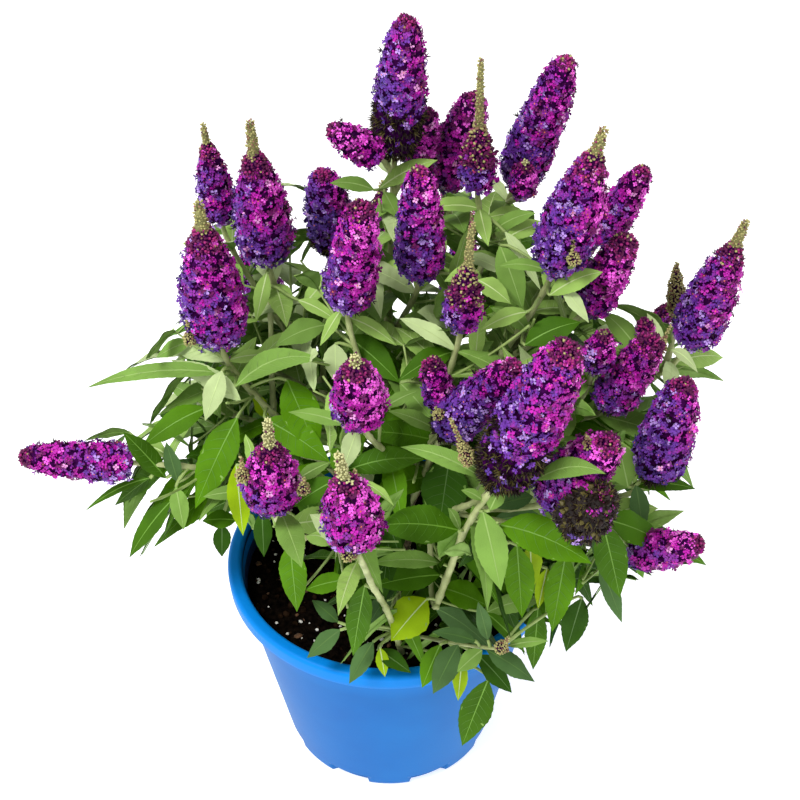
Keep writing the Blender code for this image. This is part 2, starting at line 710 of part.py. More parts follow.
def joined(name, pieces):
    """One closed solid of overlapping pieces, by a single union. A scrap that joins nothing is dropped."""
    stem, others = pieces[0], pieces[1:]
    group = bpy.data.collections.new(name + "_pieces")
    bpy.context.scene.collection.children.link(group)
    for piece in others:
        PLANT.objects.unlink(piece)
        group.objects.link(piece)
    union = stem.modifiers.new("join", "BOOLEAN")
    union.operation = "UNION"
    union.operand_type = "COLLECTION"
    union.collection = group
    union.solver = UNION_SOLVER
    bpy.context.view_layer.update()
    graph = bpy.context.evaluated_depsgraph_get()
    data = bpy.data.meshes.new_from_object(stem.evaluated_get(graph))
    for piece in [stem, *others]:
        bpy.data.objects.remove(piece)
    bpy.data.collections.remove(group)
    mesh = bmesh.new()
    mesh.from_mesh(data)
    bpy.data.meshes.remove(data)
    keep_largest(mesh)
    return object_of(mesh, name)


def keep_largest(mesh):
    """Deletes every island of a mesh but the one with the most faces."""
    left = set(mesh.verts)
    islands = []
    while left:
        front = [left.pop()]
        island = set(front)
        while front:
            near = {e.other_vert(v) for v in front for e in v.link_edges} - island
            island |= near
            front = list(near)
        left -= island
        islands.append(island)
    islands.sort(key=len)
    bmesh.ops.delete(mesh, geom=[v for island in islands[:-1] for v in island], context="VERTS")


UNION_SOLVER = "MANIFOLD"

for old in list(bpy.data.objects):
    bpy.data.objects.remove(old)
PLANT = bpy.data.collections.new("potted_butterfly_bush")
GUIDES = bpy.data.collections.new("guides")
bpy.context.scene.collection.children.link(PLANT)
bpy.context.scene.collection.children.link(GUIDES)
BARK = material("bark", (0.235, 0.195, 0.130), 0.85)
FOLIAGE = material("foliage", (0.110, 0.240, 0.045), 0.60)

make_pot()
make_soil()
make_trunk()
twig_section = three_sided()
for mass_number, mass_name in enumerate(MASSES):
    make_bough(mass_name)
    print(mass_name, "has sprigs and leaves:", make_mass(mass_name, mass_number, twig_section))
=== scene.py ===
"""The looks of a potted butterfly bush in full flower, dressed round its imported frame.

Metres, +Z up. The origin is the centre of the pot's flat underside, and -Y faces the camera.
The shoots, twigs and leaves grow by the solids' rule, carried to finer twigs in the same spaces.
"""

import math
import random
from collections import defaultdict, namedtuple

import bpy
import numpy as np
from mathutils import Matrix, Vector, noise
from mathutils.bvhtree import BVHTree


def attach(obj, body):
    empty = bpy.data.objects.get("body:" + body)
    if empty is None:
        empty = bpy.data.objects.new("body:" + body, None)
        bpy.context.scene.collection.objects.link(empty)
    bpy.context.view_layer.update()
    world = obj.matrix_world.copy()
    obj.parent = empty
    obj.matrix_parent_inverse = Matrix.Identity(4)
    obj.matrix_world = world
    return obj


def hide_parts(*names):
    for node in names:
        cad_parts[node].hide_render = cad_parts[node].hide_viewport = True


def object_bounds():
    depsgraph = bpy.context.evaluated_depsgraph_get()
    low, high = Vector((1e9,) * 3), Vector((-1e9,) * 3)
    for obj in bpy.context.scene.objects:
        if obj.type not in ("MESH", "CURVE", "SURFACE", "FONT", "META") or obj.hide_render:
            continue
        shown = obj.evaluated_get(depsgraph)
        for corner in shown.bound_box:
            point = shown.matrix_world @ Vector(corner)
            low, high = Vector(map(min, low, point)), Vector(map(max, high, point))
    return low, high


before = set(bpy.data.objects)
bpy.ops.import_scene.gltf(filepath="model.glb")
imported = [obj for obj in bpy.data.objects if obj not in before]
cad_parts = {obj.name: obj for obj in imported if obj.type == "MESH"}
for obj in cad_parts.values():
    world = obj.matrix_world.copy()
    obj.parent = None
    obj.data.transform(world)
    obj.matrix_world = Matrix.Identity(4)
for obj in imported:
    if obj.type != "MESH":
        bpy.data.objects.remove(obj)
CAD_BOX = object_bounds()

# Camera, as the photograph was taken
CAMERA_DISTANCE = 1.10
CAMERA_ELEVATION = 39.6
CAMERA_TARGET = Vector((0.009, 0.0, 0.350))
CAMERA_LENS = 66.9
SENSOR_WIDTH = 36
PHOTO_SIZE = 800  # pixels
CENTRE = PHOTO_SIZE / 2
TILT = math.radians(CAMERA_ELEVATION)
SIGHT = Vector((0, math.cos(TILT), -math.sin(TILT)))
SIGHT_UP = Vector((0, math.sin(TILT), math.cos(TILT)))
EYE = CAMERA_TARGET - SIGHT * CAMERA_DISTANCE
FOCAL_PIXELS = PHOTO_SIZE * CAMERA_LENS / SENSOR_WIDTH

# Pot and soil, as the solids have them
POT_HEIGHT = 0.190
RIM_RADIUS = 0.130
RIM_LEDGE = 0.0112
RIM_DEPTH = 0.014
RIM_ROUND = 0.0035
RIM_FOOT = POT_HEIGHT - RIM_DEPTH
LIP_RADIUS = RIM_RADIUS - RIM_LEDGE
RIM_OVERHANG = 0.0095
RIM_SKIRT = ((0.0004, 0.004), (0.0006, 0.0008), (0.0012, 0.0), (0.0025, -0.0002))  # (inset, rise)
LEDGE_DEPTH = 0.004
BASE_RADIUS = 0.087
POT_WALL = 0.0025
POT_FLOOR = 0.006
BASE_ROUND = 0.003
THICK_CORNER = 0.011
CORNER_HEIGHT = 0.020
NOTCHES = 8
NOTCH_WIDTH = 0.030
NOTCH_HEIGHT = 0.012
NOTCH_DEPTH = 0.005
POT_STEPS = 192
# The dark sheet just inside the pot's wall is painted shade: its gap from the wall, and where it begins
SHADE_LINING_GAP = 0.0004
SHADE_LINING_DEPTH = 0.008  # below the soil's top
SOIL_TOP = 0.166
SOIL_CROWN = 0.004
SOIL_DEPTH = 0.012
SOIL_GAP = 0.0008
SOIL_SINK = 0.0006
SOIL_RINGS = 60
SOIL_STEPS = 170
SOIL_LUMPS = ((0.0016, 90), (0.0012, 230), (0.0008, 520))  # (height, how many a metre)

# What lies on the soil: how many, the smallest and largest radius, and the width and height against it.
# Slivers of bark each have a width of their own.
Bits = namedtuple("Bits", "kind count small large width flatness")
SOIL_BITS = (
    Bits("soil_crumbs", 420, 0.0012, 0.0036, 0.85, 0.80),
    Bits("perlite", 120, 0.0005, 0.0019, 0.85, 0.70),
    Bits("bark_bits", 56, 0.0018, 0.0040, None, 0.35),
)
BITS_INSET = 0.003
BITS_CLEARANCE = 0.002
PEBBLE_ROWS = 4
PEBBLE_SIDES = 6
PEBBLE_ROUGHNESS = 0.28
SLIVER_WIDTHS = (0.4, 0.9)  # of a sliver of bark, against its length

# Woody crown and boughs
GAP = 0.0003
TRUNK_FOOT_RADIUS = 0.023
TRUNK_WAIST_RADIUS = 0.0145
TRUNK_HEAD_RADIUS = 0.0185
TRUNK_HEIGHT = 0.032
OUTER_SEATS_RADIUS = 0.0147
INNER_SEATS_RADIUS = 0.0071
INNER_REACH = 0.121
BOUGH_FOOT_RADIUS = 0.0031
BOUGH_TIP_RADIUS = 0.0025
BOUGH_SHARE = 0.27
BOUGH_FOOT_LENGTH = 0.005
BOUGH_SIDES = 12
TRUNK_ROWS = 60
TRUNK_SIDES = 96

# Shoots
STEM_RADIUS = 0.0028
STEM_TIP_RADIUS = 0.0018
SIDE_SHOOT_SHARE = 0.85  # a side shoot's radius against its stem's
BOUGH_SPREAD = 0.45  # how far a bough sets out sideways, against upwards
FORK_SPREAD = 1.4
ARRIVAL_PULL = 0.8
STEM_STEP = 0.0055
STEM_ROWS = 6  # at least
STEM_INTO_SPIKE = 0.3
KNUCKLE = 0.28  # how much stouter a stem is at a leaf pair
KNUCKLE_WIDTH = 0.012
TWIG_TAPER = 0.8
JOINING_POINTS = 10
JOINING_SIDES = 6
JOINING_SWELL = 1.1
JOINING_CLIMB = 0.3  # how steeply a joining twig sets out
JOINING_RISE = 0.004  # a limb that isn't this far below a place counts as further off
SHORTEST_JOINING = 0.004
SAMPLE_STEP = 0.008
SHOOT_POINTS = 24
TUBE_SIDES = 8

# Leaves
LOW_INTERNODE = 0.024
HIGH_INTERNODE = 0.022
HIGH_UP = 0.392
LEAF_LENGTH = 0.096
LEAF_TOP_SHARE = 0.60
LEAF_WIDTH_SHARE = 0.305
LEAF_SINK = 0.0010
LEAF_TRIES = 14
LEAF_SPREAD = (50, 80)  # degrees from its shoot
LEAF_LENGTHS = (0.9, 1.1)
LEAF_WIDTHS = (0.85, 1.15)
LEAF_DROOP = (0.15, 0.46)
LEAF_TWIST = 0.5
LEAF_FOLD = (0.10, 0.40)
LEAF_BEND = 0.10
LEAF_SAG = 0.05
LOW_LEAF_SAG = 0.10  # more at a shoot's foot
LEAF_SHRINK = 0.45  # by the last try
SWING_STEP = 0.2  # how far a try may turn about the shoot, more each time
MOST_SWING = 1.5
BARE_STEM_SHARE = 0.03
BARE_SIDE_SHARE = 0.12
CROSSING_REACH = 0.6  # of two leaves' lengths together
PHASES = (0, 6.28)
SPRIG_LENGTH = 0.060
SPRIG_RADIUS = 0.0011
SPRIG_SHARES = (0.16, 0.28, 0.40, 0.52, 0.66, 0.82)
SPRIG_TRIES = 12
SPRIG_LEAN = (38, 62)  # degrees from its shoot
SPRIG_LENGTHS = (0.75, 1.2)
SPRIG_RISE = 0.18
SPRIG_SHRINK = 0.3  # by the last try
SPRIG_POINTS = (0.0, 0.17, 0.34, 0.5, 0.67, 0.84, 1.0)  # shares of its length
TWIG_SIDES = 4
TWIG_CLEARANCE = 0.0045
SPRIG_ROOM = 3 * TWIG_CLEARANCE
SPACE_MARGIN = 0.0022
LEAF_TRESPASS = 0.012  # how far a leaf may reach into the next mass's space
BOX_SLACK = 0.006  # leaves keep this close to the solids' box
GUARD_REACH = 0.080
LIMB_CLEARANCE = 0.0075
ROOF_HEIGHT = 0.590
ROOF_SLOPE = 0.85
GUARD_SPOTS = 10  # along each spike
GUARD_SWELL = 1.1
POT_CLEARANCE = 0.004
RIM_CLEARANCE = 0.005
LIP_CLEARANCE = 0.006
FLARE_CLEARANCE = 0.008
HEAD_CLEARANCE = 0.010
FORK_CLEARANCE = 0.012

# Masses that the photograph doesn't show
HIDDEN_MASSES = ("back_left", "back", "back_right")

# The crown is open over the left of the pot's mouth, as seen from the eye
BARE_FROM = 168
BARE_TO = 250
BARE_INNER = 0.082
BARE_OUTER = 0.150
HANG_LIMIT = 0.150  # leaves outside the pot hang no lower than this

# What grown leaves don't hide in the photograph's view: spikes, shown leaves and shown stems
SPIKE_VIEW_SPOTS = 9
SPIKE_VIEW_SHARE = 0.85
LEAF_VIEW_SHARES = (0.15, 0.30, 0.45, 0.60, 0.75, 0.90)
STEM_VIEW_RADIUS = 0.004
VIEW_MARGIN = 0.002

# Blades, as shares of the leaf's length or width
BLADE_ROWS = ((0.062, 32), (0.040, 22), (0.0, 14))  # (longer than, rows)
VEINED = 0.050  # blades longer than this have side veins
BLADE_COLUMNS = (-1.0, -0.5, 0.0, 0.5, 1.0)
UNDER_ROWS = 7
UNDER_COLUMNS = (0.93, 0.0, -0.93)
RIB_ROWS = 7
UNDER_GAP = 0.00035
TOOTH = 0.022
VEINS_FROM = 0.08
VEINS_TO = 0.84
VEIN_PITCH = 0.115
VEIN_SWEEP = 0.15
VEIN_LIFT = 0.00016
VEIN_OF = {
    "deep": "deep",
    "shade": "deep",
    "fresh": "green",
    "mid": "green",
    "sage": "sage",
    "lime": "pale",
    "pale": "pale",
    "dusty": "pale",
}
VEIN_REACH = (0.04, 0.45, 0.84)  # of the half width
VEIN_BREADTH = (0.0034, 0.0026, 0.0010)
RIB_BREADTH = 0.00046
RIB_TIP_BREADTH = 0.00008
RIB_HEIGHT = 0.00018
UNDER_RIB_HEIGHT = 0.0007
UNDER_RIB_GAP = 0.0002
UNDER_RIB_SHARE = 1.3
NARROWEST = 0.0009  # a blade's least half width, for its midrib
QUILT = 0.0045
CUP = 0.16
WAVE = 0.10
WAVES = 2.3
SHOWN_WIDTH_SHARE = 0.96
SHOWN_TWIST = 0.15
SHOWN_FOLD = (0.14, 0.34)

# Colour classes of leaves to draw from, by their age, and by how far they lie under the crown's roof.
# Darker greens far under the roof are painted shade. High, young leaves are paler, partly their own grey
# and partly painted light, and low ones darker, partly painted shade.
AGE_HEIGHT = 0.325
AGE_SPAN = 0.12
AGE_BY_SHARE = 0.9
AGE_STRAY = 0.6
YOUNG_AGE = 0.80
MIDDLE_AGE = 0.10
DEEP_SHADE_COVER = 0.16
MIDDLE_SHADE_COVER = 0.14
YOUNG_LEAVES = ("dusty", "pale", "pale", "sage")
MIDDLE_LEAVES = ("pale", "sage", "sage", "fresh", "fresh", "pale")
SHADED_MIDDLE_LEAVES = ("pale", "sage", "sage", "fresh", "fresh", "mid")
OLD_LEAVES = ("fresh", "mid", "mid", "deep", "shade")
SHADED_OLD_LEAVES = ("deep", "deep", "deep", "mid", "shade", "fresh")

# Blooms
FLORET_PITCH = 0.0035
DRY_PITCH = 0.0030
BUD_PITCH = 0.0024
YOUNG_PITCH = 0.0017
BODY_SHARE = 0.86  # florets' ring against the spike's own radius
HUSK_SHARE = 0.92  # husks' ring against the florets' one
FLORET_INSET = 0.0006
HUSK_INSET = 0.0022
BUD_INSET = 0.0004
FLORET_UNEVENNESS = 0.0007
FLORET_STRAY = 0.32  # how far they look away from the spike's own face
HUSK_STRAY = 0.38
BUD_STRAY = 0.25
YOUNG_STRAY = 0.30
FLORET_SIZES = (0.0022, 0.0031)
HUSK_SIZES = (0.0022, 0.0032)
BUD_SIZES = (0.0015, 0.0021)
YOUNG_SIZES = (0.0011, 0.0016)
HUSK_SWELL = 0.0016
HUSK_REACH = 1.35  # of the spent share
LEAST_SPENT = 0.04
DROPPED_FROM_HEAD = 0.90  # the share of spent florets that are gone, on a spike that is over
DROPPED_FROM_FOOT = 0.93
FLORET_BUD_SHARE = 0.8  # buds among the florets, against their size
OLIVE_HUSKS = 0.28
CLOSED_HUSKS = 0.40  # on a spike that is over
PLUM_BUDS = 0.35
TAN_BUDS = 0.25
YOUNG_TAN_BUDS = 0.22

# Open, cupped and folded-back florets: how far the sides and the end of a lobe rise, and its reach
FLORET_LOBES = ((0.06, -0.04, 1.0), (0.20, 0.30, 0.90), (-0.04, -0.26, 0.97))
FLORET_FORMS = (0.50, 0.28, 0.22)  # the share of each
CUPPED = 1
ORANGE_THROATS = 0.24
FOOT_SHARE = 0.03  # of its length, below the first florets
CORE_SHARE = 0.79
CORE_ROWS = 30
CORE_SIDES = 12
HEAD_SPENT = 1.0  # a spike that is more spent than this is over altogether
YOUNG_BUDDING = 0.4  # a spike that is more in bud than this is ragged
SHORT_TAIL = 0.08  # a spike with no longer tail has a round top
LONG_TAIL = 0.35  # a spike with a longer tail narrows all the way to it
DOME_FROM = 0.86
TIP_SHARE = 0.985
BUD_TIP_SHARE = 0.995
PROFILE_STEPS = 260
CLOSED_STEPS = 5  # of a spike's profile, where it closes at the tip
SPOT_PACKING = 0.88
SPOT_STRAY = 1.5
BEARING_STRAY = 0.10
RISE_LIMITS = (-0.7, 3.0)
OUTWARD_RISE = 0.12  # how far florets look up
LUMP_PITCH = 0.0125
LUMP = 0.11
RAGGED_LUMP = 0.20
PATCH_SIZE = 0.013
HUSK_PATCH_SIZE = 0.011
PATCH_SEED = 3.1
TURN = 2 * math.pi
GOLDEN_ANGLE = math.pi * (3 - math.sqrt(5))
# Florets that look towards the lit side, up and to the right, are warmer and pinker, and those that look
# away cooler violet and blue: partly the flower's own mix of colours, partly painted light and shade.
WARM_LIT_SIDE = Vector((0.80, -0.10, 0.59))  # florets that look this way are more magenta
WARM_BY_LIT_SIDE = 0.32
# Higher up a spike florets are warmer and pinker: partly their own colour, partly painted light from
# above.
WARM_BY_LIT_HEIGHT = 0.50
WARM_BY_PATCH = 0.32
WARM_STRAY = 0.14

# Florets of a kind are warmer than above, cooler than below, and draw from first to last out of 0 to 1.
# Each zone goes over the ones before it. The warm pinks carry painted light and the cool blues painted
# shade, besides the flower's own colours.
Zone = namedtuple("Zone", "kind above below first last", defaults=(-math.inf, math.inf, 0.0, 1.0))
FLORET_ZONES = (
    Zone("florets_blue", below=0.13),
    # painted highlights: a fifth of the cool florets are pale lilac
    Zone("florets_lilac", below=0.43, last=0.20),
    Zone("florets_purple", above=0.43),
    Zone("florets_magenta", above=0.58),
    Zone("florets_plum", above=0.58, last=0.20),
    Zone("florets_pink", above=0.84, first=0.34),
    # painted highlights: a few warm florets are pale blush pink
    Zone("florets_blush", above=0.50, first=0.945),
    Zone("florets_spent", first=0.982),
)

PIECE_LIMIT = 190_000  # triangles

# A bloom stands at (around, out, up), and leans from the vertical toward a bearing. Angles are in
# degrees, 0 is +X and 90 is +Y. tail is the share of its length that is a thin spike of buds.
Bloom = namedtuple("Bloom", "around out up lean toward length girth tail look")
Tip = namedtuple("Tip", "around out up lean toward")
Side = namedtuple("Side", "share end")
Mass = namedtuple("Mass", "main sides")

# How a bloom is coloured: how much of it is magenta rather than violet, the shares of its length that
# are spent at the foot and still in bud at the tip, and the kind of its last buds.
Look = namedtuple("Look", "magenta spent budding tail")

LOOKS = {
    "summit": Look(0.34, 0.42, 0.04, "buds_wine"),
    "grand": Look(0.44, 0.38, 0.07, "buds_wine"),
    "mixed": Look(0.48, 0.00, 0.03, "buds_plum"),
    "violet": Look(0.36, 0.10, 0.07, "buds_wine"),
    "dusk": Look(0.20, 0.24, 0.02, "buds_plum"),
    "magenta": Look(0.70, 0.00, 0.15, "buds_cream"),
    "rosy": Look(0.66, 0.02, 0.07, "buds_wine"),
    "bright": Look(0.80, 0.00, 0.04, "buds_plum"),
    "wine": Look(0.58, 0.05, 0.14, "buds_wine"),
    "rose_top": Look(0.58, 0.00, 0.08, "buds_wine"),
    "left_tip": Look(0.50, 0.00, 0.10, "buds_wine"),
    "fresh": Look(0.50, 0.00, 0.15, "buds_olive"),
    "budding": Look(0.60, 0.04, 0.55, "buds_olive"),
    "spent": Look(0.30, 1.40, 0.00, "husks_olive"),
    "young": Look(0.50, 0.00, 1.00, "buds_cream"),
}

MASSES = {
    "crown_top": Mass(
        Bloom(85, 0.065, 0.523, 19, -79, 0.125, 0.043, 0.06, "summit"),
        (
            Side(0.88, Bloom(98, 0.045, 0.530, 48, -146, 0.050, 0.028, 0.06, "rosy")),
            Side(0.84, Bloom(76, 0.077, 0.510, 23, -60, 0.052, 0.030, 0.06, "rosy")),
            Side(0.46, Bloom(4, 0.023, 0.462, 13, -93, 0.100, 0.039, 0.06, "mixed")),
            Side(0.40, Tip(-150, 0.060, 0.345, 50, -150)),
            Side(0.50, Tip(96, 0.105, 0.430, 50, 96)),
        ),
    ),
    "upper_back_right": Mass(
        Bloom(37, 0.116, 0.496, 24, -64, 0.130, 0.040, 0.06, "mixed"),
        (
            Side(0.66, Bloom(67, 0.104, 0.478, 22, -54, 0.094, 0.041, 0.06, "bright")),
            Side(0.72, Bloom(32, 0.074, 0.507, 18, -95, 0.125, 0.032, 0.48, "budding")),
            Side(0.90, Bloom(26, 0.105, 0.500, 20, -92, 0.035, 0.024, 0.10, "magenta")),
            Side(0.48, Tip(58, 0.115, 0.415, 50, 60)),
        ),
    ),
    "upper_right": Mass(
        Bloom(-6, 0.115, 0.477, 20, -69, 0.140, 0.046, 0.16, "fresh"),
        (
            Side(0.50, Bloom(21, 0.165, 0.452, 25, -53, 0.085, 0.032, 0.06, "rosy")),
            Side(0.60, Bloom(-2, 0.141, 0.438, 22, -53, 0.080, 0.036, 0.06, "magenta")),
            Side(0.44, Tip(32, 0.130, 0.370, 60, 30)),
        ),
    ),
    "far_right": Mass(
        Bloom(1, 0.218, 0.401, 15, -56, 0.125, 0.042, 0.18, "fresh"),
        (
            Side(0.80, Bloom(0, 0.189, 0.397, 26, -122, 0.040, 0.023, 0.06, "wine")),
            Side(0.84, Bloom(9, 0.214, 0.404, 11, -131, 0.052, 0.012, 0.10, "young")),
            Side(0.56, Bloom(-12, 0.161, 0.374, 22, -41, 0.080, 0.038, 0.06, "wine")),
            Side(0.50, Bloom(-18, 0.150, 0.419, 20, -80, 0.045, 0.026, 0.10, "wine")),
            Side(0.48, Tip(4, 0.138, 0.318, 76, 4)),
        ),
    ),
    "right_front": Mass(
        Bloom(-27, 0.206, 0.363, 11, -67, 0.095, 0.044, 0.06, "violet"),
        (
            Side(0.64, Bloom(-38, 0.214, 0.323, 51, -37, 0.060, 0.032, 0.06, "rosy")),
            Side(0.46, Tip(-36, 0.118, 0.262, 84, -32)),
            Side(0.52, Tip(-13, 0.122, 0.285, 76, -10)),
        ),
    ),
    "front_right": Mass(
        Bloom(-64, 0.165, 0.408, 19, -42, 0.138, 0.052, 0.06, "grand"),
        (
            Side(0.60, Bloom(-52, 0.178, 0.383, 28, -45, 0.084, 0.045, 0.06, "rosy")),
            Side(0.56, Bloom(-54, 0.207, 0.387, 27, -57, 0.048, 0.042, 0.06, "spent")),
            Side(0.44, Tip(-74, 0.125, 0.255, 88, -70)),
            Side(0.48, Tip(-54, 0.130, 0.262, 88, -50)),
        ),
    ),
    "front_middle": Mass(
        Bloom(-65, 0.092, 0.393, 34, -38, 0.100, 0.037, 0.06, "violet"),
        (
            Side(0.76, Bloom(-63, 0.083, 0.405, 12, 205, 0.045, 0.026, 0.06, "wine")),
            Side(0.50, Bloom(-47, 0.073, 0.458, 11, -77, 0.095, 0.032, 0.40, "budding")),
            Side(0.48, Bloom(-133, 0.039, 0.459, 16, -64, 0.098, 0.041, 0.06, "rose_top")),
            Side(0.56, Bloom(-97, 0.129, 0.442, 17, -97, 0.068, 0.040, 0.12, "magenta")),
            Side(0.42, Tip(-92, 0.100, 0.335, 60, -92)),
            Side(0.38, Tip(-86, 0.122, 0.255, 86, -84)),
            Side(0.40, Tip(-50, 0.085, 0.325, 60, -45)),
        ),
    ),
    "upper_left": Mass(
        Bloom(159, 0.091, 0.454, 12, -97, 0.128, 0.046, 0.22, "fresh"),
        (
            Side(0.54, Bloom(151, 0.138, 0.463, 10, -107, 0.090, 0.031, 0.20, "fresh")),
            Side(0.50, Bloom(111, 0.114, 0.416, 19, -103, 0.085, 0.044, 0.06, "dusk")),
            Side(0.46, Tip(162, 0.130, 0.370, 60, 165)),
        ),
    ),
    "left": Mass(
        Bloom(-165, 0.120, 0.431, 12, -91, 0.130, 0.050, 0.18, "fresh"),
        (
            Side(0.50, Tip(182, 0.140, 0.350, 64, 182)),
            Side(0.40, Tip(172, 0.125, 0.285, 84, 172)),
        ),
    ),
    "far_left": Mass(
        Bloom(-157, 0.192, 0.355, 77, -170, 0.078, 0.034, 0.06, "left_tip"),
        (
            Side(0.48, Tip(-152, 0.130, 0.310, 76, -155)),
            Side(0.50, Tip(-140, 0.120, 0.345, 50, -140)),
        ),
    ),
    "front_left": Mass(
        Bloom(-114, 0.177, 0.399, 11, -80, 0.084, 0.042, 0.30, "magenta"),
        (
            Side(0.56, Bloom(-95, 0.200, 0.404, 12, -119, 0.086, 0.043, 0.27, "magenta")),
            Side(0.42, Tip(-104, 0.120, 0.262, 82, -104)),
            Side(0.48, Tip(-118, 0.125, 0.315, 66, -118)),
        ),
    ),
    "back_left": Mass(
        Bloom(126, 0.160, 0.318, 22, 128, 0.095, 0.040, 0.12, "fresh"),
        (
            Side(0.48, Bloom(140, 0.165, 0.268, 30, 140, 0.085, 0.036, 0.06, "violet")),
            Side(0.44, Tip(142, 0.125, 0.265, 84, 145)),
        ),
    ),
    "back": Mass(
        Bloom(92, 0.135, 0.350, 14, 90, 0.095, 0.040, 0.10, "fresh"),
        (
            Side(0.46, Bloom(118, 0.200, 0.275, 44, 118, 0.090, 0.036, 0.06, "rosy")),
            Side(0.50, Bloom(74, 0.195, 0.290, 38, 72, 0.092, 0.036, 0.12, "mixed")),
            Side(0.42, Tip(90, 0.130, 0.262, 84, 90)),
        ),
    ),
    "back_right": Mass(
        Bloom(50, 0.190, 0.320, 30, 48, 0.098, 0.040, 0.10, "violet"),
        (
            Side(0.50, Bloom(25, 0.200, 0.298, 34, 22, 0.090, 0.035, 0.12, "fresh")),
            Side(0.44, Tip(40, 0.130, 0.262, 84, 40)),
        ),
    ),
}


# Pieces as the photograph shows them. Pixels are of its 800 by 800 frame. near says how far a point
# stands from the middle towards the camera, in metres, and reach is the same for a tip.
Sky = namedtuple("Sky", "pixel_x pixel_y pixel_radius")
Shown = namedtuple("Shown", "foot_pixel tip_pixel near reach width kind droop", defaults=(0.30,))
ShownBud = namedtuple("ShownBud", "foot_pixel tip_pixel near reach girth")
Through = namedtuple("Through", "pixel_x pixel_y near")
ShownStem = namedtuple("ShownStem", "radius tip_radius points")

SKIES = (
    Sky(140, 285, 52),
    Sky(100, 330, 45),
    Sky(60, 400, 22),
    Sky(60, 540, 60),
    Sky(150, 630, 62),
    Sky(195, 592, 32),
    Sky(660, 665, 84),
    Sky(590, 740, 90),
    Sky(730, 430, 44),
    Sky(745, 540, 44),
    Sky(720, 640, 60),
    Sky(380, 742, 58),
    Sky(325, 700, 36),
    Sky(640, 275, 26),
    Sky(560, 90, 60),
    Sky(300, 120, 60),
    Sky(200, 560, 12),
    Sky(184, 552, 14),
    Sky(206, 574, 16),
    Sky(181, 452, 6),
    Sky(160, 575, 14),
    Sky(726, 500, 25),
    Sky(700, 592, 22),
    Sky(702, 514, 17),
    Sky(118, 408, 16),
)

